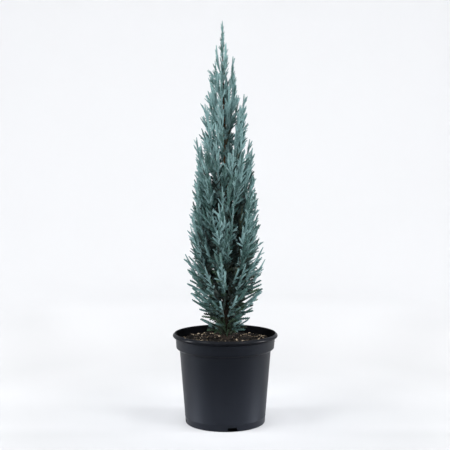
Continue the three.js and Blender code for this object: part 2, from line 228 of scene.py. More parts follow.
def makeBark():
    material, shader, start = newFinish("stringyBark", barkLook["roughness"], barkLook["specular"])
    drawn = stretched(start, barkLook["strands"])
    strands = speckle(start, drawn, barkLook["strand"], barkLook["strandDetail"], barkLook["strandRough"])
    flakes = speckle(start, stretched(start, barkLook["flakes"]), barkLook["flake"])
    height = start.node("ShaderNodeSeparateXYZ", {}, {"Vector": stretched(start, (1, 1, 1))}, "Z")
    # young bark is brighter between 0.36 and 0.59 m up; above that the bark darkens again as painted shade
    # under the upper crown
    young = rising(start, height, *barkLook["young"]) - rising(start, height, *barkLook["shaded"])
    mottle = barkLook["strandShare"] * strands + barkLook["flakeShare"] * flakes
    darkBark, youngBark = ramp(start, mottle, barkLook["stops"]), ramp(start, mottle, barkLook["youngStops"])
    start.feed(shader.inputs["Base Color"], blendColour(start, young, darkBark, youngBark))
    start.feed(shader.inputs["Roughness"], barkLook["least"] + barkLook["more"] * flakes)
    relief = strands + barkLook["flakeBump"] * flakes
    bump(start, shader, relief, barkLook["bump"], barkLook["bumpDepth"] * mm)
    return material


woodLook = {"roughness": 0.85, "specular": 0.3, "grain": (1, 0.35, 1), "detail": 5, "grainRough": 0.65,
            "least": 0.7, "more": 0.25, "bump": 0.7, "bumpDepth": 0.3}


def makeWoodBits(name, stops, strand):
    material, shader, start = newFinish(name, woodLook["roughness"], woodLook["specular"])
    drawn = stretched(start, woodLook["grain"])
    grain = speckle(start, drawn, strand, woodLook["detail"], woodLook["grainRough"])
    start.feed(shader.inputs["Base Color"], ramp(start, grain, stops))
    start.feed(shader.inputs["Roughness"], woodLook["least"] + woodLook["more"] * grain)
    bump(start, shader, grain, woodLook["bump"], woodLook["bumpDepth"] * mm)
    return material


# plain base colours of the sprays, from the waxy tips to the old shoots near the trunk, the darker ones also
# standing for painted shade deep in the crown
leafTints = {
    "frosted": {"colour": (0.212, 0.355, 0.356), "slot": "foliage_light"},
    "steelBlue": {"colour": (0.144, 0.264, 0.264), "slot": "foliage_light"},
    "blueGreen": {"colour": (0.054, 0.131, 0.119), "slot": "foliage_mid"},
    "leafGreen": {"colour": (0.052, 0.114, 0.058), "slot": "foliage_green"},
    "deepGreen": {"colour": (0.006, 0.023, 0.017), "slot": "foliage_green"},
    "mossGreen": {"colour": (0.022, 0.038, 0.016), "slot": "foliage_green"},
}


leafWax = {"roughness": 0.62, "specular": 0.3, "sheen": 0.18, "sheenRoughness": 0.5}


def makeLeafSkin(name, colour):
    material, shader = newFinish(name, leafWax["roughness"], leafWax["specular"])[:2]
    shader.inputs["Base Color"].default_value = (*colour, 1)
    shader.inputs["Sheen Weight"].default_value = leafWax["sheen"]
    shader.inputs["Sheen Roughness"].default_value = leafWax["sheenRoughness"]
    return material


# a darker, duller copy of the pot's plastic: painted shade for the inner wall and the drain notches
def makePaintedShadePlastic():
    material, shader, start = newFinish("paintedShadeBlackPlastic", potLook["paintedShadeRoughness"], potLook["paintedShadeSpecular"])
    grain = speckle(start, stretched(start, (1, 1, 1)), potLook["grain"], potLook["grainDetail"])
    start.feed(shader.inputs["Base Color"], blendColour(start, grain, potLook["paintedShadeColour"], potLook["dark"]))
    return material


finishes = {
    "pot": makePotPlastic("satinBlackPlastic", potLook["specular"]),
    "lip": makePotPlastic("lipBlackPlastic", potLook["lipSpecular"]),
    "paintedShadePlastic": makePaintedShadePlastic(),
    "peat": makePeat(),
    "bark": makeBark(),
    "chipDark": makeWoodBits(
        "darkBarkChip", [(0.3, (0.006, 0.004, 0.003)), (0.7, (0.040, 0.026, 0.017))], 320
    ),
    "chipTan": makeWoodBits("tanBarkChip", [(0.3, (0.24, 0.17, 0.11)), (0.7, (0.62, 0.52, 0.38))], 320),
    "straw": makeWoodBits("dryStraw", [(0.3, (0.20, 0.140, 0.080)), (0.7, (0.50, 0.40, 0.27))], 500),
    "youngWood": makeWoodBits("youngWood", [(0.3, (0.010, 0.012, 0.007)), (0.7, (0.046, 0.044, 0.022))], 400),
}
leafSkins = {name: makeLeafSkin(name + "Leaf", look["colour"]) for name, look in leafTints.items()}
print("materials made:", len(finishes) + len(leafSkins))


# meshes and geometry trees
def meshOf(name, points, faces=(), edges=()):
    mesh = bpy.data.meshes.new(name)
    mesh.from_pydata([point * mm for point in points], list(edges), list(faces))
    mesh.update()
    return mesh


def placed(name, mesh, material=None):
    piece = bpy.data.objects.new(name, mesh)
    bpy.context.scene.collection.objects.link(piece)
    if material:
        mesh.materials.append(material)
    return piece


def smoothed(mesh, angle=60):
    mesh.polygons.foreach_set("use_smooth", [True] * len(mesh.polygons))
    mesh.set_sharp_from_angle(angle=math.radians(angle))


weldWithin = 1e-6  # metres


def facedOut(mesh):
    work = bmesh.new()
    work.from_mesh(mesh)
    bmesh.ops.remove_doubles(work, verts=work.verts, dist=weldWithin)
    bmesh.ops.recalc_face_normals(work, faces=work.faces)
    work.to_mesh(mesh)
    work.free()


# a limb of rings, each a centre, two directions and its radius by angle
def ringedLimb(rings, sides):
    points, faces = [], []
    for centre, across, other, radiusAt in rings:
        for k in range(sides):
            angle = 2 * math.pi * k / sides
            points.append(centre + (across * math.cos(angle) + other * math.sin(angle)) * radiusAt(angle))
    for i in range(len(rings) - 1):
        for k in range(sides):
            low, beside = i * sides + k, i * sides + (k + 1) % sides
            faces.append((low, beside, beside + sides, low + sides))
    faces.append(tuple(reversed(range(sides))))
    faces.append(tuple(range(len(points) - sides, len(points))))
    return points, faces


def newTree(name, inputs):
    tree = bpy.data.node_groups.new(name, "GeometryNodeTree")
    tree.interface.new_socket("Geometry", in_out="INPUT", socket_type="NodeSocketGeometry")
    for label, kind in inputs.items():
        tree.interface.new_socket(label, in_out="INPUT", socket_type="NodeSocket" + kind)
    tree.interface.new_socket("Geometry", in_out="OUTPUT", socket_type="NodeSocketGeometry")
    return tree, Wire(tree).node("NodeGroupInput", output="Geometry")


def closeTree(given, geometry, material):
    real = given.node("GeometryNodeRealizeInstances", {}, {"Geometry": geometry})
    dressed = given.node("GeometryNodeSetMaterial", {}, {"Geometry": real, "Material": material})
    given.tree.nodes.new("NodeGroupOutput")
    given.feed(given.tree.nodes["Group Output"].inputs["Geometry"], dressed)


def applied(piece, modifier):
    ready = piece.evaluated_get(bpy.context.evaluated_depsgraph_get())
    piece.data = bpy.data.meshes.new_from_object(ready)
    piece.modifiers.remove(modifier)


def grown(name, mesh, tree, values):
    piece = placed(name, mesh)
    modifier = piece.modifiers.new(tree.name, "NODES")
    modifier.node_group = tree
    for item in tree.interface.items_tree:
        if item.in_out == "INPUT" and item.name in values:
            modifier[item.identifier] = values[item.name]
    applied(piece, modifier)
    return piece


def variantSet(name, meshes):
    shapes = bpy.data.collections.new(name)
    for number, mesh in enumerate(meshes):
        shapes.objects.link(bpy.data.objects.new(f"{name}{number:02d}", mesh))
    return shapes


def dropSet(shapes):
    for shape in list(shapes.objects):
        bpy.data.objects.remove(shape)
    bpy.data.collections.remove(shapes)


def named(given, label, kind):
    return given.node("GeometryNodeInputNamedAttribute", {"data_type": kind}, {"Name": label}, "Attribute")


# a shape of the set on every point, picked by its kind
def setShapes(given, points, kind, rotation, size):
    wanted = {"Collection": given.out("Shapes"), "Separate Children": True, "Reset Children": True}
    shapes = given.node("GeometryNodeCollectionInfo", {}, wanted)
    scale = given.node("ShaderNodeCombineXYZ", {}, {"X": size, "Y": size, "Z": size})
    inputs = {"Points": points, "Instance": shapes, "Pick Instance": True, "Instance Index": kind,
              "Rotation": rotation, "Scale": scale}
    return given.node("GeometryNodeInstanceOnPoints", {}, inputs)


# the tree that sets a sprig on every point, along its aim and turned to its face
def makeSprigTree():
    tree, given = newTree("setSprigs", {"Shapes": "Collection", "Fullness": "Float", "Skin": "Material"})
    aim, face = named(given, "aim", "FLOAT_VECTOR"), named(given, "face", "FLOAT_VECTOR")
    aimed = given.node("FunctionNodeAlignRotationToVector", {"axis": "Z"}, {"Vector": aim})
    settings = {"axis": "X", "pivot_axis": "Z"}
    facing = given.node("FunctionNodeAlignRotationToVector", settings, {"Rotation": aimed, "Vector": face})
    size = named(given, "grow", "FLOAT") * given.out("Fullness")
    sprays = setShapes(given, given, named(given, "kind", "INT"), facing, size)
    closeTree(given, sprays, given.out("Skin"))
    return tree


# the tree that draws a round limb along each line, as thick as its girth
def makeLimbTree():
    tree, given = newTree("drawLimbs", {"Sides": "Int", "Skin": "Material"})
    lines = given.node("GeometryNodeMeshToCurve", {}, {"Mesh": given})
    girth = named(given, "girth", "FLOAT")
    circle = {"Resolution": given.out("Sides"), "Radius": 1.0}
    ring = given.node("GeometryNodeCurvePrimitiveCircle", {}, circle)
    inputs = {"Curve": lines, "Profile Curve": ring, "Scale": girth, "Fill Caps": True}
    limbs = given.node("GeometryNodeCurveToMesh", {}, inputs)
    closeTree(given, limbs, given.out("Skin"))
    return tree


def chance(given, kind, low, high, seed):
    inputs = {"Min": low, "Max": high, "Seed": seed}
    return given.node("FunctionNodeRandomValue", {"data_type": kind}, inputs, "Value")


strewing = {"fullTurn": 6.283, "sizeSeed": 7, "kindSeed": 13, "lastKind": 99}


# the tree that strews bits of a set over a surface, clear of the trunk
def makeLitterTree():
    inputs = {"Shapes": "Collection", "Density": "Float", "Smallest": "Float", "Largest": "Float",
              "Clear": "Float", "Tilt": "Float", "Seed": "Int", "Skin": "Material"}
    tree, given = newTree("strewLitter", inputs)
    place = given.node("GeometryNodeInputPosition")
    flat = given.node("ShaderNodeVectorMath", {"operation": "MULTIPLY"}, {0: place, 1: (1, 1, 0)})
    away = given.node("ShaderNodeVectorMath", {"operation": "LENGTH"}, {0: flat}, "Value")
    seed = given.out("Seed")
    bare = away > given.out("Clear")
    inputs = {"Mesh": given, "Selection": bare, "Density": given.out("Density"), "Seed": seed}
    spread = given.node("GeometryNodeDistributePointsOnFaces", {}, inputs)
    tilt = given.out("Tilt")
    lowTurn = given.node("ShaderNodeCombineXYZ", {}, {"X": 0 - tilt, "Y": 0 - tilt, "Z": 0.0})
    highTurn = given.node("ShaderNodeCombineXYZ", {}, {"X": tilt, "Y": tilt, "Z": strewing["fullTurn"]})
    turn = chance(given, "FLOAT_VECTOR", lowTurn, highTurn, seed)
    size = chance(given, "FLOAT", given.out("Smallest"), given.out("Largest"), seed + strewing["sizeSeed"])
    kind = chance(given, "INT", 0, strewing["lastKind"], seed + strewing["kindSeed"])
    closeTree(given, setShapes(given, spread, kind, turn, size), given.out("Skin"))
    return tree


sprigTree = makeSprigTree()
limbTree = makeLimbTree()
litterTree = makeLitterTree()
print("geometry trees made")


# the rule that the plant grows by, in millimetres: the same trunk, tiers and stems as the solids
trunk = {"foot": 150.3, "tip": 655, "footRadius": 5.6, "tipRadius": 0.9, "flare": 4.2, "flareHeight": 11,
         "lobes": 5, "lobeDepth": 0.3, "taper": 0.85, "offset": 2, "lean": -6.5, "wave": -1, "depthWave": 1.3,
         "facets": 10, "clear": 1}
leader = {"height": 48, "lean": -0.5, "gap": 0.3}
crown = [(155, 36), (192, 46), (221, 58), (250, 68), (280, 74), (330, 72), (388, 67), (445, 61), (495, 54),
         (545, 46), (580, 39), (610, 32), (645, 23), (684, 11), (723, 3)]
tiers = [
    {"count": 3, "foot": 628, "tip": 664, "reach": 7, "first": 272, "bough": 0},
    {"count": 3, "foot": 574, "tip": 636, "reach": 13, "first": 75, "bough": 0},
    {"count": 4, "foot": 508, "tip": 594, "reach": 19, "first": 45, "bough": 0},
    {"count": 1, "foot": 424, "tip": 578, "reach": 30, "first": 92, "bough": 0.3},
    {"count": 4, "foot": 424, "tip": 540, "reach": 32, "first": 310, "bough": 0},
    {"count": 6, "foot": 348, "tip": 472, "reach": 41, "first": 80, "bough": 0},
    {"count": 6, "foot": 282, "tip": 404, "reach": 46, "first": 355, "bough": 0},
    {"count": 6, "foot": 234, "tip": 346, "reach": 50, "first": 347, "bough": 0.26},
    {"count": 6, "foot": 203, "tip": 268, "reach": 51, "first": 272, "bough": 0, "elbow": (0.58, 0.42)},
    {"count": 5, "foot": 180, "tip": 217, "reach": 40, "first": 69, "bough": 0, "elbow": (0.52, 0.48)},
    {"count": 3, "foot": 166, "tip": 179, "reach": 24, "first": 300, "bough": 0, "elbow": (0.52, 0.48)},
]
jitter = {"seed": 11, "bearing": 16, "height": 14, "reach": 0.1}
stem = {"elbow": (0.72, 0.28), "footRadius": 2.4, "tipRadius": 0.7, "gap": 0.3, "sink": 1.5, "steps": 16,
        "woodyTo": 0.94}
boughs = {"footRadius": 3.1, "tipRadius": 2.4}
plumeSize = {"fullAt": 58, "least": 0.42}
twigs = {"footLength": 42, "tipLength": 30, "turn": 110, "topSpread": 24, "bottomSpread": 46,
         "spreadVary": (0.8, 1.2), "turnVary": (0.15, 1), "lengthVary": (0.85, 1.15)}
endShoot = {"sink": 6, "least": 12, "more": 18, "seed": 1700, "vary": (0.6, 1.7), "shortest": 2}


def mix(first, second, share):
    return first + (second - first) * share


dice = {"scatter": 7919, "factor": 1664525, "step": 1013904223, "range": 4294967296}


# a row of draws from 0 to 1, the same for the same seed
def seeded(seed):
    state = seed * dice["scatter"]

    def draw():
        nonlocal state
        state = (state * dice["factor"] + dice["step"]) % dice["range"]
        return state / dice["range"]

    draw()
    draw()
    return draw


def outward(bearing):
    angle = math.radians(bearing)
    return Vector((math.sin(angle), -math.cos(angle), 0))


def trunkShare(height):
    return min(1, (height - trunk["foot"]) / (trunk["tip"] - trunk["foot"]))


def trunkAt(height):
    share = trunkShare(height)
    sway = math.sin(2 * math.pi * share)
    aside = trunk["offset"] + trunk["lean"] * share + trunk["wave"] * sway
    return Vector((aside, trunk["depthWave"] * sway, height))


def trunkRadius(height):
    return mix(trunk["footRadius"], trunk["tipRadius"], max(0, trunkShare(height)) ** trunk["taper"])


def trunkSurface(height, bearing):
    flare = trunk["flare"] * math.exp((trunk["foot"] - height) / trunk["flareHeight"])
    lobes = 1 + trunk["lobeDepth"] * math.cos(trunk["lobes"] * math.radians(bearing))
    return trunkRadius(height) + flare * lobes


def facet(bearing):
    side = 360 / trunk["facets"]
    return math.cos(math.radians(side / 2)) / math.cos(math.radians(bearing % side - side / 2))


def crownRadius(height):
    if height <= crown[0][0]:
        return crown[0][1]
    for (low, wide), (high, narrow) in zip(crown, crown[1:]):
        if height < high:
            return mix(wide, narrow, (height - low) / (high - low))
    return crown[-1][1]


def sizeAt(height):
    return min(1, max(plumeSize["least"], crownRadius(height) / plumeSize["fullAt"]))


def planStem(tier, k, index):
    draw = seeded(jitter["seed"] + index)
    several = 1 if tier["count"] > 1 else 0
    tallness = several * (tier["tip"] - tier["foot"]) / 100
    bearing = tier["first"] + 360 * k / tier["count"] + several * jitter["bearing"] * (draw() - 0.5)
    footHeight = tier["foot"] + tallness * jitter["height"] * (draw() - 0.5)
    tipHeight = tier["tip"] + tallness * jitter["height"] * (draw() - 0.5)
    reach = tier["reach"] * (1 + several * jitter["reach"] * (draw() - 0.5))
    out = outward(bearing)
    elbowOut, elbowUp = tier.get("elbow", stem["elbow"])
    rise = (tipHeight - footHeight) * elbowUp
    tilt = rise / math.hypot(rise, reach * elbowOut)
    footRadius = boughs["footRadius"] if tier["bough"] else stem["footRadius"]
    underside = footHeight - footRadius * (1 - tilt)
    clear = facet(bearing) * trunkSurface(underside, bearing) + stem["gap"] + tilt * footRadius
    elbow = trunkAt(footHeight + rise) + out * (clear + reach * elbowOut)
    path = (trunkAt(footHeight) + out * clear, elbow, trunkAt(tipHeight) + out * (clear + reach))
    size = sizeAt(mix(footHeight, tipHeight, 0.5))
    return {"path": path, "out": out, "woody": tier["bough"], "size": size, "random": draw, "index": index,
            "several": several}


def planLeader(index):
    foot = trunkAt(trunk["tip"] + leader["gap"])
    tip = foot + Vector((leader["lean"], 0, leader["height"]))
    path = (foot, foot.lerp(tip, 0.5), tip)
    draw = seeded(jitter["seed"] + index)
    return {"path": path, "out": outward(0), "woody": 0, "size": plumeSize["least"], "random": draw,
            "index": index, "several": 0}


def planStems():
    stems = []
    for tier in tiers:
        for k in range(tier["count"]):
            stems.append(planStem(tier, k, len(stems) + 1))
    return stems + [planLeader(len(stems) + 1)]


def bezier(path, share):
    first, second, third = path
    return first.lerp(second, share).lerp(second.lerp(third, share), share)


def bezierTangent(path, share):
    first, second, third = path
    return (second - first).lerp(third - second, share).normalized()


pathSteps = 40


def pathLength(path):
    points = [bezier(path, i / pathSteps) for i in range(pathSteps + 1)]
    return sum((b - a).length for a, b in zip(points, points[1:]))


def leaning(axis, out, turn, angle):
    face = (out - axis * out.dot(axis)).normalized()
    side = Quaternion(axis, math.radians(turn)) @ face
    return axis * math.cos(math.radians(angle)) + side * math.sin(math.radians(angle))


def insideCrown(tip):
    return (tip - trunkAt(tip.z)).length < crownRadius(tip.z)


# the length, in tenths, that stays inside the crown
def withinCrown(root, direction, length):
    for tenths in range(10, 4, -1):
        if insideCrown(root + direction * (length * tenths / 10)):
            return length * tenths / 10
    return length * 0.4


potRoom = {"overSoil": 154, "overRim": 168, "inside": 76.6}


def clearOfPot(tip):
    within = math.hypot(tip.x, tip.y) < potRoom["inside"]
    return tip.z > (potRoom["overSoil"] if within else potRoom["overRim"])


between = {"fewest": 4, "turn": 0.33, "lift": 0.25, "top": 0.08, "reach": 0.86, "footRadius": 1.5}


# finer stems that stand in the gaps of a tier, a little higher than its own
def planBetween(first):
    finer = []
    for tier in tiers:
        tall = tier["tip"] - tier["foot"]
        foot, tip = tier["foot"] + between["lift"] * tall, tier["tip"] + between["top"] * tall
        gapTier = dict(tier, foot=foot, tip=tip, bough=0)
        gapTier["reach"] = between["reach"] * tier["reach"]
        gapTier["first"] = tier["first"] + between["turn"] * 360 / tier["count"]
        if tier["count"] >= between["fewest"]:
            finer += [planStem(gapTier, k, first + len(finer) + k) for k in range(tier["count"])]
    return finer


stems = planStems()
finerStems = planBetween(len(stems) + 1)
print("stems planned:", len(stems), "and between them:", len(finerStems))


# the same rule carried on: the twigs of the solids bend up into slim plumes, set with leafy fingers that fork
fineTwigs = {"spacing": 27, "least": 3, "first": 0.06, "last": 0.9, "longer": 2.1, "outShare": 0.44,
             "upShare": 0.66, "elbow": 0.7, "ahead": 0.25, "margin": 7, "lowMargin": 0, "sagBelow": 235,
             "sag": 0.3, "footRadius": 0.8, "tipRadius": 0.35, "points": 5, "woodyTo": 0.92, "start": 0.1,
             "olderShadedTo": 0.3}
splayed = {"below": 300, "over": 70, "turn": 0.5, "out": 0.85, "up": 0.5, "lean": 0.95, "length": 0.52,
           "gap": 1.45, "bluntFrom": 0.5}
fingers = {"seed": 400, "gap": 4.3, "footLength": 20, "tipLength": 14, "lengthVary": (0.8, 1.15),
           "sizePower": 0.6, "taperFrom": 0.3, "topLean": 20, "bottomLean": 41, "leanVary": (0.8, 1.2),
           "ranks": (-80, 80, -35, 35), "wobble": 26, "forkAt": 0.5, "forkShift": (0.7, 1.3),
           "forkTurn": (60, 120), "forkLength": 0.32, "forkLean": 35, "forks": (0.5, 0.25), "beyond": 7,
           "topLonger": 1.45, "looseTo": 630, "fineFrom": 440, "fineTo": 600, "fine": 0.74, "bare": 12,
           "bareLow": 14, "leaderGap": 0.6, "oneSprig": 18}
oldShoots = {"seed": 900, "spacing": 5.2, "last": 0.66, "length": 30, "lengthVary": (0.7, 1.2), "spread": 50,
             "spreadVary": (0.6, 1.4), "lowestSize": 0.5, "margin": 15, "paleAbove": 440, "paleOver": 110,
             "gap": 1.7, "forks": 0.3, "moss": 0.15}
lowShoots = {"seed": 2100, "count": 42, "from": 164, "to": 250, "turn": 137.5, "wobble": 30, "footLean": 66,
             "topLean": 46, "leanVary": (0.75, 1.2), "length": 90, "lengthVary": (0.7, 1.15), "upturn": 0.8,
             "margin": -3, "start": 0.12, "greenTo": 0.55, "moss": 0.5, "greenTips": 0.72}
footShoots = {"seed": 2700, "count": 34, "from": 154, "to": 178, "footLean": 64, "topLean": 36, "length": 30,
              "lengthVary": (0.6, 1.2), "moss": 0.4}
topShoots = {"seed": 1300, "from": 460, "gap": 3.2, "length": 17, "lengthVary": (0.75, 1.2), "lean": 17,
             "leanVary": (0.7, 1.3), "frosted": 0.25, "forking": 2}
# narrow gaps in front that show the upper trunk and its shaded foot
slits = ({"from": 474, "to": 622, "half": 1.5, "aside": 0, "wave": 0.17, "covered": 0.0},
         {"from": 162, "to": 232, "half": 3.6, "aside": 0.5, "wave": 0, "covered": 0.0})
# narrow lines of sky between the plumes, as (height, side) from the bottom up
skyLines = {"left": [(420, -15), (465, -17), (492, -18), (536, -30)],
            "right": [(350, 15), (384, 13), (420, 16), (456, 24)],
            "upperRight": [(462, 22), (500, 17), (562, 14)],
            "topLeft": [(566, -14), (645, -7)],
            "topRight": [(566, 15), (645, 8)]}
sky = {"half": 1.0, "wave": 0.23, "covered": -0.1}
sprigs = {"pitch": 1.5, "counts": (3, 5, 7, 9, 11), "leafLength": 2.8, "leafWidth": 2.15, "spineRadius": 1.3,
          "spineEnd": 0.88, "spineSides": 3, "seat": 0.45, "baseLean": 24, "twist": 7, "over": 0.9,
          "firstLeaf": 0.3, "wideAt": 0.58, "keelAt": 0.5, "keelHeight": 0.3, "hook": 0.06}
# the forms of a sprig: a straight and a bent one with slim tips, a blunt one, and an even one for below a tip
sprigForms = ({"bend": 0.0, "end": 0.3, "tipLean": 15, "tipSize": 0.8, "budLean": 9},
              {"bend": 0.05, "end": 0.3, "tipLean": 15, "tipSize": 0.8, "budLean": 9},
              {"bend": 0.02, "end": 0.85, "tipLean": 27, "tipSize": 1.0, "budLean": 9},
              {"bend": 0.0, "end": 1.0, "tipLean": 24, "tipSize": 1.0, "budLean": 24})
slimForms, bluntForm, evenForm = 2, 2, 3
clothing = {"link": 15, "thick": 1.05, "overlap": 1.15, "from": 0.25, "endFrom": 0.05, "topSize": 0.75,
            "lowest": 215}
tintRule = {"at": 0.6, "vary": 0.24, "lowBelow": 300, "lowOver": 150, "lowLess": 0.22, "highAbove": 400,
            "highOver": 250, "highMore": 0.33, "frosted": 0.84, "steelBlue": 0.72, "blueGreen": 0.6,
            "greenBelow": 275, "paleAbove": 470, "green": 0.65, "moss": 0.12, "darker": 0.26, "deeper": 0.5,
            "paler": 0.34, "edge": 0.2, "steelTips": 0.4}
olderShadedTints = {"frosted": "blueGreen", "steelBlue": "blueGreen", "blueGreen": "deepGreen"}
paleTints = {"frosted": "steelBlue", "steelBlue": "blueGreen"}
darkerTints = {"frosted": "steelBlue", "steelBlue": "blueGreen"}
edgeTints = {"deepGreen": "blueGreen", "mossGreen": "blueGreen"}
palerTints = {"blueGreen": "steelBlue", "steelBlue": "frosted", "leafGreen": "blueGreen"}


def axisOf(plan):
    path = plan["path"]
    tip = path[2]
    ahead = bezierTangent(path, 1)
    back = tip - ahead * (endShoot["sink"] * plan["size"])
    wish = endShoot["least"] + endShoot["more"] * plan["size"]
    if plan["several"]:
        wish *= mix(*endShoot["vary"], seeded(endShoot["seed"] + plan["index"])())
    more = withinCrown(back, ahead, wish) - endShoot["sink"] * plan["size"]
    return pathLength(path), max(endShoot["shortest"], more)


def axisAt(plan, along):
    grownLength, more = plan["axis"]
    start = plan["woody"] * grownLength
    place = mix(start, grownLength + more, along)
    if place <= grownLength:
        share = place / grownLength
        return bezier(plan["path"], share), bezierTangent(plan["path"], share)
    ahead = bezierTangent(plan["path"], 1)
    return plan["path"][2] + ahead * (place - grownLength), ahead


def isOpen(tip, margin=0):
    axis = trunkAt(tip.z)
    away = Vector((tip.x - axis.x, tip.y - axis.y)).length
    inside = away < crownRadius(tip.z) - margin
    return inside and clearOfPot(tip) and away > trunkSurface(max(tip.z, trunk["foot"]), 0) + trunk["clear"]


def lowShare(height):
    return 1 - trunkShare(height)


def splayAt(height):
    return min(1, max(0, (splayed["below"] - height) / splayed["over"]))


# the longest twig, in tenths, that starts along one line, bends to another and ends inside the crown
def bentTwig(root, direction, bendTo, length, margin):
    sag = fineTwigs["sag"] * max(0, (fineTwigs["sagBelow"] - root.z) / 100)
    for tenths in range(10, 3, -1):
        reach = length * tenths / 10
        elbow = root + direction * (fineTwigs["outShare"] * fineTwigs["elbow"] * reach)
        tip = root + (direction * fineTwigs["outShare"] + bendTo * fineTwigs["upShare"] - up * sag) * reach
        if isOpen(tip, margin):
            return (root, elbow, tip)
    return None


# a twig's tint paints light and shade: darker the deeper it stands in the crown and the lower it grows, paler
# near the top, where new growth is also paler
def tintOf(root, tip, draw):
    spot = root.lerp(tip, tintRule["at"])
    shade = (spot - trunkAt(spot.z)).length / crownRadius(spot.z) + tintRule["vary"] * (draw() - 0.5)
    shade -= tintRule["lowLess"] * max(0, (tintRule["lowBelow"] - spot.z) / tintRule["lowOver"])
    shade += tintRule["highMore"] * max(0, (spot.z - tintRule["highAbove"]) / tintRule["highOver"])
    for name in ("frosted", "steelBlue", "blueGreen"):
        if shade > tintRule[name]:
            return name
    if spot.z > tintRule["paleAbove"]:
        return "blueGreen"
    if spot.z < tintRule["greenBelow"] and draw() < tintRule["green"]:
        return "leafGreen"
    return "deepGreen" if draw() > tintRule["moss"] else "mossGreen"


# the tint of a twig's inner part: older growth, painted a step darker as shade, greener low in the crown and
# hardly darker near its top
def olderShadedTint(tint, height):
    if height > tintRule["paleAbove"]:
        return paleTints.get(tint, tint)
    if height < tintRule["greenBelow"] and tint in olderShadedTints:
        return "leafGreen"
    return olderShadedTints.get(tint, tint)


# whether a shoot would stand before one of the narrow gaps that show the trunk
def hidesTrunk(root, tip):
    for slit in slits:
        if slit["from"] < tip.z < slit["to"] and math.sin(slit["wave"] * tip.z) <= slit["covered"]:
            axis = trunkAt(tip.z).x + slit["aside"]
            left, right = sorted((root.x - axis, tip.x - axis))
            if min(root.y, tip.y) <= 0 and left < slit["half"] and right > -slit["half"]:
                return True
    return False


def spotOn(line, height):
    for (low, first), (high, second) in zip(line, line[1:]):
        if low <= height < high:
            return mix(first, second, (height - low) / (high - low))
    return None


# whether a shoot would stand before one of the lines of sky
def hidesSky(root, tip):
    height = (root.z + tip.z) / 2
    left, right = sorted((root.x, tip.x))
    for line in skyLines.values():
        side = spotOn(line, height)
        if side is not None and math.sin(sky["wave"] * height + side) < sky["covered"]:
            if left < side + sky["half"] and right > side - sky["half"]:
                return True
    return False


# 0 below the upper crown, 1 near its top
def topShare(height):
    return min(1, max(0, (height - fingers["fineFrom"]) / (fingers["fineTo"] - fingers["fineFrom"])))


# whether a shoot leaves the gaps before the trunk and the lines of sky open
def keepsOpen(root, tip):
    return not hidesTrunk(root, tip) and not hidesSky(root, tip)


# how large the leaves of a shoot are: finer near the top
def leafSize(height):
    return mix(1, fingers["fine"], topShare(height))


# blunt tips on the low shoots that stand out, slim ones above
def tipForm(splay, draw):
    return bluntForm if splay > splayed["bluntFrom"] else int(draw() * slimForms)


def sprigLength(count):
    return (count + sprigs["over"]) * sprigs["pitch"]


def sprigOf(root, aim, face, length, thick, form):
    kinds = len(sprigs["counts"])
    near = min(range(kinds), key=lambda kind: abs(sprigLength(sprigs["counts"][kind]) * thick - length))
    grow = length / sprigLength(sprigs["counts"][near])
    return {"root": root, "aim": aim, "face": face, "grow": grow, "kind": near * len(sprigForms) + form}


# sprigs set end to end along a line, so that it is clothed in leaves
def clothe(plan, spotAt, span, length, leaves, splay):
    links = max(1, round(length * (span[1] - span[0]) / clothing["link"]))
    spots = [spotAt(mix(*span, k / links))[0] for k in range(links + 1)]
    for k, (low, high) in enumerate(zip(spots, spots[1:])):
        step = high - low
        long = step.length * clothing["overlap"]
        thick = clothing["thick"] * leafSize(low.z)
        atTip = span[1] == 1 and k == links - 1
        form = evenForm if not atTip else bluntForm if splay > splayed["bluntFrom"] else 0
        leaves.append(sprigOf(low, step.normalized(), plan["out"], long, thick, form))


# a shoot of one sprig or two, with small forks to both sides where luck has it
def forked(shoot, out, draw, leaves, odds=1, splay=0):
    root, aim, face, long = shoot
    thick = leafSize(root.z)
    form = tipForm(splay, draw)
    if long > fingers["oneSprig"] * thick:
        half = long / 2
        leaves.append(sprigOf(root, aim, face, half * clothing["overlap"], thick, evenForm))
        leaves.append(sprigOf(root + aim * half, aim, face, half, thick, form))
    else:
        leaves.append(sprigOf(root, aim, face, long, thick, form))
    for share, side in zip(fingers["forks"], (1, -1)):
        luck, wobble = draw(), draw()
        if luck < share * odds:
            fork = root + aim * (long * fingers["forkAt"] * mix(*fingers["forkShift"], wobble))
            forkAim = leaning(aim, out, side * mix(*fingers["forkTurn"], wobble), fingers["forkLean"])
            short = long * fingers["forkLength"]
            form = tipForm(splay, draw)
            leaves.append(sprigOf(fork, forkAim, face, short, thick, form))


# a finger may be a step paler or darker than its twig at random; painted shade makes it darker where it
# stands deeper, and painted light lifts the darkest tints at the crown's edge
def fingerTint(tint, tip, draw):
    deep = 1 - (tip - trunkAt(tip.z)).length / crownRadius(tip.z)
    luck = draw()
    if deep < tintRule["edge"] and tip.z > tintRule["greenBelow"]:
        tint = edgeTints.get(tint, tint)
    if luck < tintRule["darker"] + tintRule["deeper"] * deep:
        return darkerTints.get(tint, tint)
    return palerTints.get(tint, tint) if luck > 1 - tintRule["paler"] else tint


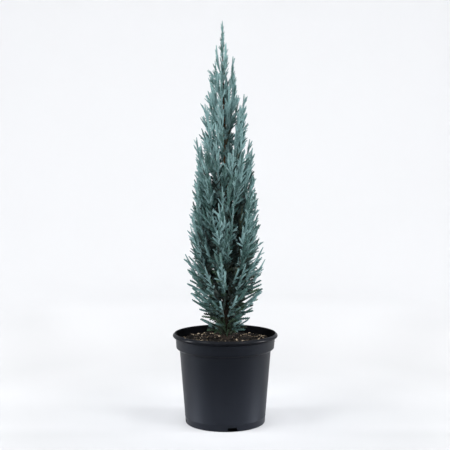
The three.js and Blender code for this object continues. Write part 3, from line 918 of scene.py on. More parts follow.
# leafy fingers on the outer sides of a line, shorter towards its tip, some with a fork or two
def setFingers(plan, spotAt, span, length, draw, bins, tint, splay=0, margin=0, sparse=1, forking=1):
    clothe(plan, spotAt, span, length, bins[tint], splay)
    middle = spotAt(mix(*span, 0.5))[0].z
    loose = mix(1, fingers["topLonger"], topShare(middle)) if middle < fingers["looseTo"] else 1
    gap = fingers["gap"] * sparse * mix(1, splayed["gap"], splay) * loose
    bare = mix(fingers["bare"], fingers["bareLow"], splay)
    last = span[1] if span[1] < 1 else max(span[0], 1 - bare / length)
    count = max(1, round(length * (last - span[0]) / gap))
    ranks = fingers["ranks"]
    for k in range(count):
        share = mix(span[0], last, (k + 0.5) / count)
        root, axis = spotAt(share)
        rank = ranks[k % len(ranks)]
        lean = mix(fingers["topLean"], fingers["bottomLean"], lowShare(root.z))
        lean *= mix(*fingers["leanVary"], draw())
        lean *= mix(1, splayed["lean"], splay)
        aim = leaning(axis, plan["out"], rank + fingers["wobble"] * (draw() - 0.5), lean)
        taper = max(0, (share - fingers["taperFrom"]) / (1 - fingers["taperFrom"]))
        long = plan["size"] ** fingers["sizePower"] * mix(fingers["footLength"], fingers["tipLength"], taper)
        long *= mix(*fingers["lengthVary"], draw()) * mix(1, splayed["length"], splay) * loose
        tip = root + aim * long
        if isOpen(tip, margin - fingers["beyond"]) and keepsOpen(root, tip):
            shown = fingerTint(tint, tip, draw)
            forked((root, aim, axis, long), plan["out"], draw, bins[shown], forking, splay)


def alongPath(path):
    return lambda share: (bezier(path, share), bezierTangent(path, share))


# a twig of two tints, the older one within painted darker as shade, and the line of its wood
def setTwig(plan, path, draw, bins, lines, tints, splay=0, margin=0, sparse=1, forking=1):
    spotAt = alongPath(path)
    length = pathLength(path)
    middle = fineTwigs["olderShadedTo"]
    for span, tint in zip(((fineTwigs["start"], middle), (middle, 1)), tints):
        setFingers(plan, spotAt, span, length, draw, bins, tint, splay, margin, sparse, forking)
    lines.append(twigLine(path))


# the twigs of one stem and the leafy fingers along its own end
def growPlume(plan, index, bins, lines):
    random = plan["random"]
    draw = seeded(fingers["seed"] + index)
    plan["axis"] = axisOf(plan)
    length = plan["axis"][0] * (1 - plan["woody"])
    count = max(fineTwigs["least"], round(length / fineTwigs["spacing"]))
    for j in range(count):
        along = mix(fineTwigs["first"], fineTwigs["last"], (j + 0.5) / count)
        share = mix(plan["woody"], 1, along)
        root, tangent = bezier(plan["path"], share), bezierTangent(plan["path"], share)
        spread = mix(twigs["topSpread"], twigs["bottomSpread"], lowShare(root.z))
        spread *= mix(*twigs["spreadVary"], random())
        turn = (1 if j % 2 else -1) * twigs["turn"] * mix(*twigs["turnVary"], random())
        wish = plan["size"] * mix(twigs["footLength"], twigs["tipLength"], along)
        wish *= mix(*twigs["lengthVary"], random())
        splay = splayAt(root.z)
        direction = leaning(tangent, plan["out"], turn * mix(1, splayed["turn"], splay), spread)
        bendTo = bezierTangent(plan["path"], min(1, share + fineTwigs["ahead"]))
        bendTo = bendTo.lerp(plan["out"] * splayed["out"] + up * splayed["up"], splay).normalized()
        margin = mix(fineTwigs["margin"], fineTwigs["lowMargin"], splay)
        path = bentTwig(root, direction, bendTo, wish * fineTwigs["longer"], margin)
        if path and keepsOpen(path[0], path[2]):
            tint = tintOf(path[0], path[2], draw)
            setTwig(plan, path, draw, bins, lines, (olderShadedTint(tint, root.z), tint), splay)
    whole = sum(plan["axis"]) - plan["woody"] * plan["axis"][0]
    tint = "frosted" if draw() > tintRule["steelTips"] and plan["several"] else "steelBlue"
    midway = clothing["lowest"] < plan["path"][0].z and plan["size"] > clothing["topSize"]
    start = clothing["from"] if midway else clothing["endFrom"]
    splay = splayAt(plan["path"][2].z)
    setFingers(plan, lambda share: axisAt(plan, share), (start, 1), whole, draw, bins, tint, splay,
               sparse=1 if plan["several"] else fingers["leaderGap"])


# old shoots on all sides of the inner part of a stem, which darken the middle of the crown, most of them in
# the near-black tint of painted shade
def fillInside(plan, index, bins, lines):
    if plan["size"] < oldShoots["lowestSize"]:
        return
    draw = seeded(oldShoots["seed"] + index)
    count = round(plan["axis"][0] * oldShoots["last"] / oldShoots["spacing"])
    for j in range(count):
        share = oldShoots["last"] * (j + 0.5) / count
        root, tangent = bezier(plan["path"], share), bezierTangent(plan["path"], share)
        turn = 360 * draw()
        spread = oldShoots["spread"] * mix(*oldShoots["spreadVary"], draw())
        direction = leaning(tangent, plan["out"], turn, spread)
        long = oldShoots["length"] * mix(*oldShoots["lengthVary"], draw())
        path = bentTwig(root, direction, direction, long, oldShoots["margin"])
        tint = "deepGreen" if draw() > oldShoots["moss"] else "mossGreen"
        if root.z > oldShoots["paleAbove"]:
            pale = (root.z - oldShoots["paleAbove"]) / oldShoots["paleOver"]
            tint = "steelBlue" if draw() < pale else "blueGreen"
        if path and keepsOpen(path[0], path[2]):
            rest = (0, oldShoots["margin"], oldShoots["gap"], oldShoots["forks"])
            setTwig(plan, path, draw, bins, lines, (tint, tint), *rest)


# where the shoot of a number starts on the trunk, and its way out
def trunkSpot(height, k, draw):
    out = outward(lowShoots["turn"] * k + lowShoots["wobble"] * (draw() - 0.5))
    return trunkAt(height) + out * trunkRadius(height), out


# long shoots from the foot of the trunk to all sides, green within and blue at their ends
def splayLow(bins, lines):
    draw = seeded(lowShoots["seed"])
    for k in range(lowShoots["count"]):
        height = mix(lowShoots["from"], lowShoots["to"], (k + draw()) / lowShoots["count"])
        root, out = trunkSpot(height, k, draw)
        lean = mix(lowShoots["footLean"], lowShoots["topLean"], k / lowShoots["count"])
        lean *= mix(*lowShoots["leanVary"], draw())
        aim = leaning(up, out, 0, lean)
        bendTo = leaning(up, out, lowShoots["wobble"] * (draw() - 0.5), lean * lowShoots["upturn"])
        long = lowShoots["length"] * mix(*lowShoots["lengthVary"], draw())
        path = bentTwig(root, aim, bendTo, long, lowShoots["margin"])
        inner = "leafGreen" if draw() > lowShoots["moss"] else "mossGreen"
        tip = "steelBlue" if draw() > lowShoots["greenTips"] else "blueGreen"
        if not path or hidesTrunk(path[1], path[2]):
            continue
        length, middle = pathLength(path), lowShoots["greenTo"]
        for span, tint in (((lowShoots["start"], middle), inner), ((middle, 1), tip)):
            setFingers({"out": out, "size": 1}, alongPath(path), span, length, draw, bins, tint, 1)
        lines.append(twigLine(path))


# short green shoots round the foot of the trunk
def setFoot(bins):
    draw = seeded(footShoots["seed"])
    for k in range(footShoots["count"]):
        height = mix(footShoots["from"], footShoots["to"], (k + 0.5) / footShoots["count"])
        root, out = trunkSpot(height, k, draw)
        lean = mix(footShoots["footLean"], footShoots["topLean"], draw())
        aim = leaning(up, out, 0, lean)
        long = footShoots["length"] * mix(*footShoots["lengthVary"], draw())
        tint = "leafGreen" if draw() > footShoots["moss"] else "mossGreen"
        if clearOfPot(root + aim * long):
            forked((root, aim, up, long), out, draw, bins[tint])


# short shoots straight from the upper trunk, which clothe it up to the leader
def clotheTop(bins):
    draw = seeded(topShoots["seed"])
    count = round((trunk["tip"] - topShoots["from"]) / topShoots["gap"])
    for k in range(count):
        height = mix(topShoots["from"], trunk["tip"], (k + 0.5) / count)
        root, out = trunkSpot(height, k, draw)
        aim = leaning(up, out, 0, topShoots["lean"] * mix(*topShoots["leanVary"], draw()))
        long = topShoots["length"] * mix(*topShoots["lengthVary"], draw())
        tint = "steelBlue" if draw() > topShoots["frosted"] else "frosted"
        if not hidesTrunk(root, root + aim * long):
            forked((root, aim, up, long), out, draw, bins[tint], topShoots["forking"])


def twigLine(path):
    last = fineTwigs["points"] - 1
    thin = [mix(fineTwigs["footRadius"], fineTwigs["tipRadius"], i / last) for i in range(last + 1)]
    return [(bezier(path, fineTwigs["woodyTo"] * i / last), thin[i]) for i in range(last + 1)]


def stemLine(plan, footRadius):
    steps, start = stem["steps"], plan["woody"]
    line = []
    for i in range(steps + 1):
        share = mix(start, 1, i / steps)
        line.append((bezier(plan["path"], share), mix(footRadius, stem["tipRadius"], i / steps)))
    back = bezier(plan["path"], start) - bezierTangent(plan["path"], start) * stem["sink"]
    tip = axisAt(plan, stem["woodyTo"])[0]
    return [(back, footRadius)] + line + [(tip, fineTwigs["tipRadius"])]


def linesMesh(name, lines):
    points, edges, girths = [], [], []
    for line in lines:
        for i, (point, girth) in enumerate(line):
            if i:
                edges.append((len(points) - 1, len(points)))
            points.append(point)
            girths.append(girth * mm)
    mesh = meshOf(name, points, edges=edges)
    mesh.attributes.new("girth", "FLOAT", "POINT").data.foreach_set("value", girths)
    return mesh


# one sprig: a thin spine clothed in pairs of keeled scale leaves, each pair square to the last
def sprigMesh(name, count, form):
    total = sprigLength(count)

    def spine(height):
        return Vector((form["bend"] * height * height / total, 0, height))

    def girth(share):
        return sprigs["spineRadius"] * mix(1, form["end"], share)

    rings = []
    for share in (0, 1):
        centre = spine(total * sprigs["spineEnd"] * share)
        rings.append((centre, Vector((1, 0, 0)), Vector((0, 1, 0)), lambda angle, share=share: girth(share)))
    points, faces = ringedLimb(rings, sprigs["spineSides"])
    for n in range(count):
        share = n / (count - 1)
        base = spine((n + sprigs["firstLeaf"]) * sprigs["pitch"])
        endLean = form["tipLean"] if share < 1 else form["budLean"]
        lean = math.radians(mix(sprigs["baseLean"], endLean, share))
        length = sprigs["leafLength"] * mix(1, form["tipSize"], share)
        width = sprigs["leafWidth"] * mix(1, form["tipSize"], share)
        for half in range(2):
            angle = math.radians(180 * half + 90 * (n % 2) + sprigs["twist"] * n)
            out = Vector((math.cos(angle), math.sin(angle), 0))
            side = Vector((-math.sin(angle), math.cos(angle), 0))
            along = up * math.cos(lean) + out * math.sin(lean)
            face = out * math.cos(lean) - up * math.sin(lean)
            root = base + out * (sprigs["seat"] * girth(share))
            first = len(points)
            wide, keel = along * (sprigs["wideAt"] * length), along * (sprigs["keelAt"] * length)
            points.append(root)
            points.append(root + wide + side * (width / 2))
            points.append(root + along * length - face * (sprigs["hook"] * length))
            points.append(root + wide - side * (width / 2))
            points.append(root + keel + face * (sprigs["keelHeight"] * width))
            for a, b in ((0, 3), (3, 2), (2, 1), (1, 0)):
                faces.append((first + a, first + b, first + 4))
    return meshOf(name, points, faces)


def pointsMesh(name, sprigList):
    mesh = meshOf(name, [sprig["root"] for sprig in sprigList])
    for label in ("aim", "face"):
        values = [part for sprig in sprigList for part in sprig[label]]
        mesh.attributes.new(label, "FLOAT_VECTOR", "POINT").data.foreach_set("vector", values)
    for label, kind in (("grow", "FLOAT"), ("kind", "INT")):
        values = [sprig[label] for sprig in sprigList]
        mesh.attributes.new(label, kind, "POINT").data.foreach_set("value", values)
    return mesh


pieceLimit = 190000  # triangles in one joined piece


def trianglesOf(mesh):
    mesh.calc_loop_triangles()
    return len(mesh.loop_triangles)


def growFoliage():
    bins = {name: [] for name in leafTints}
    lines = []
    for index, plan in enumerate(stems + finerStems):
        growPlume(plan, index, bins, lines)
    for index, plan in enumerate(stems):
        fillInside(plan, index, bins, lines)
    splayLow(bins, lines)
    setFoot(bins)
    clotheTop(bins)
    meshes = []
    for count in sprigs["counts"]:
        for form in sprigForms:
            meshes.append(sprigMesh(f"sprig{count}", count, form))
    shapes = variantSet("sprigShape", meshes)
    weights = [trianglesOf(mesh) for mesh in meshes]
    total = 0
    for name, sprigList in bins.items():
        sprigList.sort(key=lambda sprig: sprig["root"].z)
        parts = math.ceil(sum(weights[sprig["kind"]] for sprig in sprigList) / pieceLimit)
        size = math.ceil(len(sprigList) / max(1, parts))
        for part in range(parts):
            chosen = sprigList[part * size:(part + 1) * size]
            label = f"{name}Sprays{part + 1}"
            values = {"Shapes": shapes, "Fullness": 1.0, "Skin": leafSkins[name]}
            piece = grown(label, pointsMesh(label, chosen), sprigTree, values)
            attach(piece, "root")
            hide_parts(*plumeNodes)
            total += trianglesOf(piece.data)
            print("sprays", label, len(chosen), trianglesOf(piece.data))
    dropSet(shapes)
    print("leaf triangles:", total)
    return lines


woodSides = {"plumeStems": 7, "twigs": 4}


def drawWood(twigLines):
    plumeLines = [stemLine(plan, stem["footRadius"] * plan["size"]) for plan in stems]
    plumeLines += [stemLine(plan, between["footRadius"] * plan["size"]) for plan in finerStems]
    for name, lines in (("plumeStems", plumeLines), ("twigs", twigLines)):
        values = {"Sides": woodSides[name], "Skin": finishes["youngWood"]}
        piece = grown(name, linesMesh(name, lines), limbTree, values)
        smoothed(piece.data)
        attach(piece, "root")
        print("wood", name, len(lines), trianglesOf(piece.data))


drawWood(growFoliage())


# trunk and boughs with the bark's stringy relief
barkRelief = {"strips": 2.6, "stripLength": 30, "fine": 7, "fineLength": 9, "depth": 0.10, "fineDepth": 0.05}


def reliefAt(angle, along, seed):
    strip = Vector((math.cos(angle) * barkRelief["strips"], math.sin(angle) * barkRelief["strips"],
                    along / barkRelief["stripLength"] + seed))
    fine = Vector((math.cos(angle) * barkRelief["fine"], math.sin(angle) * barkRelief["fine"],
                   along / barkRelief["fineLength"] + seed))
    furrow = 1 - 2 * abs(noise.noise(strip))
    return 1 + barkRelief["depth"] * (furrow - 0.5) + barkRelief["fineDepth"] * noise.noise(fine)


trunkMesh = {"sides": 40, "steps": 320, "sunk": 4, "crowding": 1.3}


def makeTrunk():
    rings = []
    for i in range(trunkMesh["steps"] + 1):
        share = (i / trunkMesh["steps"]) ** trunkMesh["crowding"]
        height = mix(trunk["foot"] - trunkMesh["sunk"], trunk["tip"], share)

        def radiusAt(angle, height=height):
            return trunkSurface(height, math.degrees(angle) + 90) * reliefAt(angle, height, 0)

        rings.append((trunkAt(height), Vector((1, 0, 0)), Vector((0, 1, 0)), radiusAt))
    points, faces = ringedLimb(rings, trunkMesh["sides"])
    piece = placed("trunkBark", meshOf("trunkBark", points, faces), finishes["bark"])
    smoothed(piece.data)
    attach(piece, "root")
    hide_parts("trunk")
    print("trunk", trianglesOf(piece.data))


boughMesh = {"sides": 24, "steps": 30, "barkLength": 150, "firstSeed": 3, "seedStep": 5}


def makeBoughs():
    points, faces = [], []
    for number, plan in enumerate(plan for plan in stems if plan["woody"]):
        rings = []
        for i in range(boughMesh["steps"] + 1):
            share = plan["woody"] * i / boughMesh["steps"]
            ahead = bezierTangent(plan["path"], share)
            across = plan["out"].cross(up).normalized()
            radius = mix(boughs["footRadius"], boughs["tipRadius"], i / boughMesh["steps"])
            along = share * boughMesh["barkLength"]
            seed = number * boughMesh["seedStep"] + boughMesh["firstSeed"]

            def radiusAt(angle, radius=radius, along=along, seed=seed):
                return radius * reliefAt(angle, along, seed)

            rings.append((bezier(plan["path"], share), across, ahead.cross(across), radiusAt))
        limbPoints, limbFaces = ringedLimb(rings, boughMesh["sides"])
        faces += [tuple(index + len(points) for index in face) for face in limbFaces]
        points += limbPoints
    mesh = meshOf("boughBark", points, faces)
    facedOut(mesh)
    piece = placed("boughBark", mesh, finishes["bark"])
    smoothed(mesh)
    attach(piece, "root")
    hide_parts(*boughNodes)
    print("boughs", trianglesOf(mesh))


makeTrunk()
makeBoughs()


# pot
potShape = {"steps": 144, "wall": 1.8, "footRadius": 72, "footRing": 6, "floorBottom": 3, "floorTop": 5.5,
            "shoulder": (82.6, 131), "bandFoot": (88.6, 135), "bandTop": (89.7, 152.5), "underLip": 1.2,
            "lipCentre": (92.2, 157.2), "lipRound": 2.8, "lipArc": (-58, 62), "lipSteps": 10,
            "crown": (91.5, 162), "crownSteps": 6, "mouth": 160, "ringHeight": 12.5, "ringDepth": 0.3,
            "ringHalf": 0.7, "ease": 0.4, "sharpFrom": 35}
# the rounding of each corner of the pot's outline
potRounds = {"foot": 1.0, "shoulder": 1.4, "bandFoot": 1.6, "bandTop": 0.8, "crown": 1.5, "mouth": 1.0,
             "inside": 1.2}
drain = {"count": 4, "bearing": 10, "width": 19, "topWidth": 15, "sill": 0.5, "height": 7, "depth": 5.4,
         "past": 6}


def arc(centre, radius, start, end, steps):
    angles = [math.radians(mix(start, end, i / steps)) for i in range(steps + 1)]
    return [(centre[0] + radius * math.cos(a), centre[1] + radius * math.sin(a)) for a in angles]


def wallRadius(height):
    share = height / potShape["shoulder"][1]
    return mix(potShape["footRadius"], potShape["shoulder"][0], share)


def roundedCorner(before, corner, after, size, steps=4):
    corner = Vector(corner)
    start = corner + (Vector(before) - corner).normalized() * size
    end = corner + (Vector(after) - corner).normalized() * size
    shares = [i / steps for i in range(steps + 1)]
    return [tuple(bezier((start, corner, end), share)) for share in shares]


def potProfile():
    foot, wall, mouth, ease = (potShape[name] for name in ("footRadius", "wall", "mouth", "ease"))
    shoulder, bandFoot, bandTop = potShape["shoulder"], potShape["bandFoot"], potShape["bandTop"]
    lip, rim = potShape["lipCentre"], potShape["crown"]
    inner, within = foot - potShape["footRing"], bandTop[0] - wall
    under = (lip[0] + potShape["underLip"], bandTop[1] + potShape["underLip"])
    ringAt, half = potShape["ringHeight"], potShape["ringHalf"]
    ring = [(wallRadius(ringAt - half), ringAt - half), (wallRadius(ringAt) + potShape["ringDepth"], ringAt),
            (wallRadius(ringAt + half), ringAt + half)]
    return (
        [(0, potShape["floorBottom"]), (inner, potShape["floorBottom"]), (inner, 0)]
        + roundedCorner((inner, 0), (foot, 0), shoulder, potRounds["foot"])
        + ring
        + roundedCorner((foot, 0), shoulder, bandFoot, potRounds["shoulder"])
        + roundedCorner(shoulder, bandFoot, bandTop, potRounds["bandFoot"])
        + roundedCorner(bandFoot, bandTop, under, potRounds["bandTop"])
        + arc(lip, potShape["lipRound"], *potShape["lipArc"], potShape["lipSteps"])
        + roundedCorner((lip[0] + 1, mouth), rim, (within, mouth), potRounds["crown"], potShape["crownSteps"])
        + roundedCorner(rim, (within + ease, mouth), (within, bandTop[1]), potRounds["mouth"])
        + [(within, bandTop[1])]
        + roundedCorner(bandTop, (bandFoot[0] - wall, bandFoot[1] + wall / 2), shoulder, potRounds["inside"])
        + [(shoulder[0] - wall, shoulder[1] + wall / 2), (foot - wall + ease, potShape["floorTop"])]
        + [(0, potShape["floorTop"])]
    )


def turned(profile, steps):
    points, faces = [], []
    for radius, height in profile:
        for k in range(steps if radius else 1):
            angle = 2 * math.pi * k / steps
            points.append(Vector((radius * math.cos(angle), radius * math.sin(angle), height)))
    starts = [0]
    for radius, height in profile[:-1]:
        starts.append(starts[-1] + (steps if radius else 1))
    for i, (low, high) in enumerate(zip(profile, profile[1:])):
        for k in range(steps):
            k2 = (k + 1) % steps
            if not low[0]:
                faces.append((starts[i], starts[i + 1] + k, starts[i + 1] + k2))
            elif not high[0]:
                faces.append((starts[i] + k, starts[i] + k2, starts[i + 1]))
            else:
                faces.append((starts[i] + k, starts[i] + k2, starts[i + 1] + k2, starts[i + 1] + k))
    return points, faces


# cutters for the drain notches: the faces they cut take their painted-shade plastic, and the sill leaves a
# floor of it in each notch
def footCutters():
    points, faces = [], []
    wide, narrow, sill, height = (drain[name] for name in ("width", "topWidth", "sill", "height"))
    outline = [(-wide / 2, sill), (wide / 2, sill), (narrow / 2, height), (-narrow / 2, height)]
    for k in range(drain["count"]):
        bearing = drain["bearing"] + 360 * k / drain["count"]
        out, side = outward(bearing), outward(bearing + 90)
        first = len(points)
        for away in (potShape["footRadius"] - drain["depth"], potShape["footRadius"] + drain["past"]):
            points += [out * away + side * across + up * rise for across, rise in outline]
        faces += [(first, first + 1, first + 2, first + 3), (first + 7, first + 6, first + 5, first + 4)]
        faces += [(first + i, first + 4 + i, first + 4 + (i + 1) % 4, first + (i + 1) % 4) for i in range(4)]
    mesh = meshOf("footCutters", points, faces)
    facedOut(mesh)
    return placed("footCutters", mesh, finishes["paintedShadePlastic"])


# the inner wall and the drain notches get a darker, duller copy of the plastic as painted shade, and the
# rolled lip has a finish of its own
def dressPot(mesh):
    mesh.materials.append(finishes["lip"])
    for face in mesh.polygons:
        inward = face.normal.x * face.center.x + face.normal.y * face.center.y < 0
        if inward and face.center.z > potShape["ringHeight"] * mm:
            face.material_index = 1
        elif face.center.z > potLook["lipFrom"]:
            face.material_index = 2


def makePot():
    points, faces = turned(potProfile(), potShape["steps"])
    mesh = meshOf("nurseryPot", points, faces)
    facedOut(mesh)
    piece = placed("nurseryPot", mesh, finishes["pot"])
    cutters = footCutters()
    cut = piece.modifiers.new("drainNotches", "BOOLEAN")
    cut.operation = "DIFFERENCE"
    cut.solver = "EXACT"
    cut.material_mode = "TRANSFER"
    cut.use_self = True
    cut.object = cutters
    applied(piece, cut)
    bpy.data.objects.remove(cutters)
    dressPot(piece.data)
    smoothed(piece.data, potShape["sharpFrom"])
    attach(piece, "root")
    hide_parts("pot")
    print("pot", trianglesOf(piece.data))


makePot()


# soil, with crumbs, bark chips and straw on it
soilShape = {"edge": 147, "crown": 150, "seat": 16, "rings": 36, "steps": 120, "gap": 0.3, "lump": 1.5,
             "lumpSize": 9, "lumpSeed": 3, "fine": 0.7, "fineSize": 3.2, "fineSeed": 9, "calm": 8}


def soilEdge(height):
    low, high = potShape["bandFoot"], potShape["bandTop"]
    return mix(low[0], high[0], (height - low[1]) / (high[1] - low[1])) - potShape["wall"] - soilShape["gap"]


def soilHeight(x, y):
    away = math.hypot(x, y)
    edge = soilEdge(soilShape["edge"])
    share = max(0, min(1, (away - soilShape["seat"]) / (edge - soilShape["seat"])))
    lump = noise.noise(Vector((x, y, soilShape["lumpSeed"])) / soilShape["lumpSize"]) * soilShape["lump"]
    fine = noise.noise(Vector((x, y, soilShape["fineSeed"])) / soilShape["fineSize"]) * soilShape["fine"]
    rough = (lump + fine) * min(1, away / soilShape["calm"])
    return mix(soilShape["crown"], soilShape["edge"], share) + rough


def makeSoil():
    inset = potShape["wall"] + soilShape["gap"]
    shoulder, bandFoot = potShape["shoulder"], potShape["bandFoot"]
    edge = soilEdge(soilShape["edge"])
    profile = [
        (0, potShape["floorTop"] + soilShape["gap"]),
        (potShape["footRadius"] - inset, potShape["floorTop"] + soilShape["gap"]),
        (shoulder[0] - inset, shoulder[1] + potShape["wall"]),
        (bandFoot[0] - inset, bandFoot[1] + potShape["wall"]),
    ]
    top = [(edge * (1 - i / soilShape["rings"]), soilShape["edge"]) for i in range(soilShape["rings"] + 1)]
    points, faces = turned(profile + top, soilShape["steps"])
    for point in points:
        if point.z == soilShape["edge"]:
            point.z = soilHeight(point.x, point.y)
    mesh = meshOf("pottingSoil", points, faces)
    facedOut(mesh)
    piece = placed("pottingSoil", mesh, finishes["peat"])
    smoothed(mesh)
    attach(piece, "root")
    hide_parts("soil")
    print("soil", trianglesOf(mesh))
    points, faces = turned(top, soilShape["steps"])
    for point in points:
        point.z = soilHeight(point.x, point.y)
    return meshOf("soilTop", points, faces)


# an angular bit: the hull of a few seeded points in a box of the given proportions
def bitMesh(name, seed, proportions, count):
    draw = seeded(seed)
    work = bmesh.new()
    for _ in range(count):
        spot = Vector((draw() - 0.5, draw() - 0.5, draw() - 0.5))
        work.verts.new(Vector([a * b for a, b in zip(spot, proportions)]) * mm)
    hull = bmesh.ops.convex_hull(work, input=work.verts)
    loose = [each for each in hull["geom_interior"] if isinstance(each, bmesh.types.BMVert)]
    bmesh.ops.delete(work, geom=loose, context="VERTS")
    bmesh.ops.recalc_face_normals(work, faces=work.faces)
    mesh = bpy.data.meshes.new(name)
    work.to_mesh(mesh)
    work.free()
    return mesh


stalk = {"seed": 90, "kinds": 5, "bend": 0.35, "lift": (0.02, 0.22), "steps": 6, "length": 12, "radius": 0.42,
         "tip": 0.55, "sides": 3}


# a dry stalk, thin and bent
def stalkMesh(name, seed):
    draw = seeded(seed)
    bend = mix(-stalk["bend"], stalk["bend"], draw())
    lift = mix(*stalk["lift"], draw())
    rings = []
    steps, length = stalk["steps"], stalk["length"]
    for i in range(steps + 1):
        share = i / steps
        centre = Vector(((share - 0.5) * length, bend * length * share * (1 - share), lift * length * share))

        def radiusAt(angle, share=share):
            return stalk["radius"] * mix(1, stalk["tip"], share)

        rings.append((centre, Vector((0, 1, 0)), up, radiusAt))
    points, faces = ringedLimb(rings, stalk["sides"])
    return meshOf(name, points, faces)


litter = {
    "soilCrumbs": {"skin": "peat", "density": 62000, "size": (0.5, 1.4), "clear": 5, "tilt": 1.2, "seed": 3},
    "barkChipsDark": {"skin": "chipDark", "density": 11000, "size": (0.5, 1.2), "clear": 11, "tilt": 0.5,
                      "seed": 5},
    "barkChipsTan": {"skin": "chipTan", "density": 4600, "size": (0.4, 1.15), "clear": 12, "tilt": 0.5,
                     "seed": 8},
    "strawBits": {"skin": "straw", "density": 3600, "size": (0.4, 1.0), "clear": 9, "tilt": 0.3, "seed": 12},
}


bits = {"crumb": {"seed": 50, "kinds": 5, "size": (3.4, 3.0, 2.6), "corners": 14},
        "chip": {"seed": 70, "kinds": 6, "size": (9, 4.6, 2.2), "corners": 16}}


def bitMeshes(name):
    look = bits[name]
    seeds = range(look["seed"], look["seed"] + look["kinds"])
    return [bitMesh(f"{name}{k}", seed, look["size"], look["corners"]) for k, seed in enumerate(seeds)]


def strewLitter(soilTop):
    crumbs, chips = bitMeshes("crumb"), bitMeshes("chip")
    stalks = [stalkMesh(f"stalk{k}", stalk["seed"] + k) for k in range(stalk["kinds"])]
    shapes = {"soilCrumbs": crumbs, "barkChipsDark": chips, "barkChipsTan": chips, "strawBits": stalks}
    for name, look in litter.items():
        chosen = variantSet(name + "Shape", shapes[name])
        values = {"Shapes": chosen, "Density": float(look["density"]), "Smallest": look["size"][0],
                  "Largest": look["size"][1], "Clear": look["clear"] * mm, "Tilt": look["tilt"],
                  "Seed": look["seed"], "Skin": finishes[look["skin"]]}
        piece = grown(name, soilTop.copy(), litterTree, values)
        dropSet(chosen)
        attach(piece, "root")
        print("litter", name, trianglesOf(piece.data))


strewLitter(makeSoil())


# studio: a round pale sweep, soft lights and the camera
studio = {"paintedLightPaper": [(0.018, (0.58, 0.588, 0.606)), (0.032, (0.506, 0.513, 0.528)),
                    (0.046, (0.478, 0.484, 0.496)), (0.068, (0.451, 0.455, 0.464)),
                    (0.09, (0.445, 0.448, 0.456)), (0.13, (0.475, 0.477, 0.484)),
                    (0.21, (0.56, 0.562, 0.569)), (0.30, (0.638, 0.64, 0.648)),
                    (0.38, (0.675, 0.677, 0.685)), (0.44, (0.675, 0.677, 0.685)),
                    (0.58, (0.678, 0.68, 0.688)), (0.80, (0.714, 0.716, 0.724))],
          "paperScale": 0.2, "roughness": 0.9, "specular": 0.1,
          "sideFrom": 0.05, "sideTo": 0.28, "sideSpread": 0.3, "sideShade": 0.095,
          "farFrom": 0.42, "farTo": 0.65, "wallFrom": 1.2, "wallTo": 2.0, "nearFrom": 0.3, "nearTo": 0.6,
          "frontFrom": 0.03, "frontTo": 0.1, "frontShade": 0.12,
          "floor": 1900, "round": 1700, "top": 5200, "steps": 96, "bendSteps": 24,
          "air": (0.97, 0.985, 1.0, 1), "airStrength": 1.5}


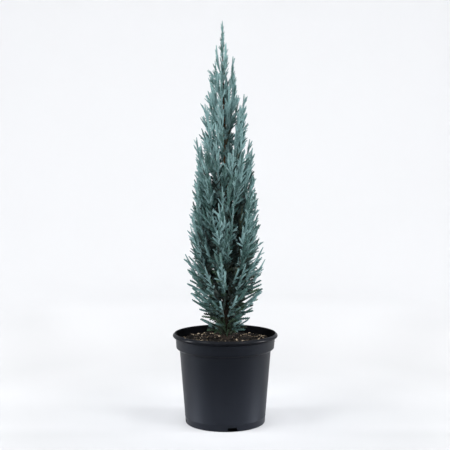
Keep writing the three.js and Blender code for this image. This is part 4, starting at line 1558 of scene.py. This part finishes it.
# floor and wall in one round sweep; its colour paints light and shade: paler close round the pot to lift its
# contact shadow, darkest some 0.4 m out, paler again further out and up the wall where less light falls, and
# a little darker in front of the pot and out to the sides
def makeSweep():
    material, shader, start = newFinish("paleSweep", studio["roughness"], studio["specular"])
    place = start.node("ShaderNodeTexCoord", output="Object")
    away = start.node("ShaderNodeVectorMath", {"operation": "LENGTH"}, {"Vector": place}, "Value")
    across = start.node("ShaderNodeSeparateXYZ", {}, {"Vector": place}, "X")
    aside = start.math("ABSOLUTE", across, 0.0) - away * studio["sideSpread"]
    side = rising(start, aside, studio["sideFrom"], studio["sideTo"])
    side = side * rising(start, away, studio["farFrom"], studio["farTo"])
    side = side * (1.0 - rising(start, away, studio["wallFrom"], studio["wallTo"]))
    front = rising(start, across.out("Y") * -1.0, studio["frontFrom"], studio["frontTo"])
    front = front * (1.0 - rising(start, away, studio["nearFrom"], studio["nearTo"]))
    shade = 1.0 - side * studio["sideShade"] - front * studio["frontShade"]
    paintedLightPaper = ramp(start, away * studio["paperScale"], studio["paintedLightPaper"])
    inputs = {"Vector": paintedLightPaper, "Scale": shade}
    paintedLightPaper = start.node("ShaderNodeVectorMath", {"operation": "SCALE"}, inputs, "Vector")
    start.feed(shader.inputs["Base Color"], paintedLightPaper)
    bend = arc((studio["floor"], studio["round"]), studio["round"], -90, 0, studio["bendSteps"])
    edge = (studio["floor"] + studio["round"], studio["top"])
    points, faces = turned([(0, 0)] + bend + [edge], studio["steps"])
    piece = placed("studioSweep", meshOf("studioSweep", points, faces), material)
    smoothed(piece.data)


lamps = {
    "leftTopLamp": {"at": (-1.5, -1.0, 2.4), "to": (0, 0, 0.35), "size": (0.7, 0.7), "power": 27},
    "rightTopLamp": {"at": (1.3, -1.0, 2.5), "to": (0, 0, 0.35), "size": (0.7, 0.7), "power": 25},
    "leftLamp": {"at": (-1.7, -0.15, 0.6), "to": (0, 0, 0.3), "size": (0.5, 1.2), "power": 38},
    "rightLamp": {"at": (1.7, -0.15, 0.6), "to": (0, 0, 0.3), "size": (0.5, 1.2), "power": 38},
}


def makeLamps():
    for name, look in lamps.items():
        light = bpy.data.lights.new(name, "AREA")
        light.shape = "RECTANGLE"
        light.size, light.size_y = look["size"]
        light.energy = look["power"]
        lamp = bpy.data.objects.new(name, light)
        lamp.location = look["at"]
        lamp.rotation_euler = (Vector(look["to"]) - lamp.location).to_track_quat("-Z", "Y").to_euler()
        bpy.context.scene.collection.objects.link(lamp)


camera = {"at": (-0.00045, -1.46078, 0.41439), "pitch": 2.2616, "lens": 64.78, "sensor": 36}


def makeCamera():
    lens = bpy.data.cameras.new("photoCamera")
    lens.lens = camera["lens"]
    lens.sensor_width = camera["sensor"]
    eye = bpy.data.objects.new("photoCamera", lens)
    eye.location = camera["at"]
    eye.rotation_euler = (math.radians(90 - camera["pitch"]), 0, 0)
    bpy.context.scene.collection.objects.link(eye)
    bpy.context.scene.camera = eye


def makeAir():
    world = bpy.data.worlds.new("studioAir")
    world.use_nodes = True
    world.node_tree.nodes["Background"].inputs["Color"].default_value = studio["air"]
    world.node_tree.nodes["Background"].inputs["Strength"].default_value = studio["airStrength"]
    bpy.context.scene.world = world
    bpy.context.scene.view_settings.view_transform = "Standard"


makeSweep()
makeLamps()
makeCamera()
makeAir()
print("studio made")
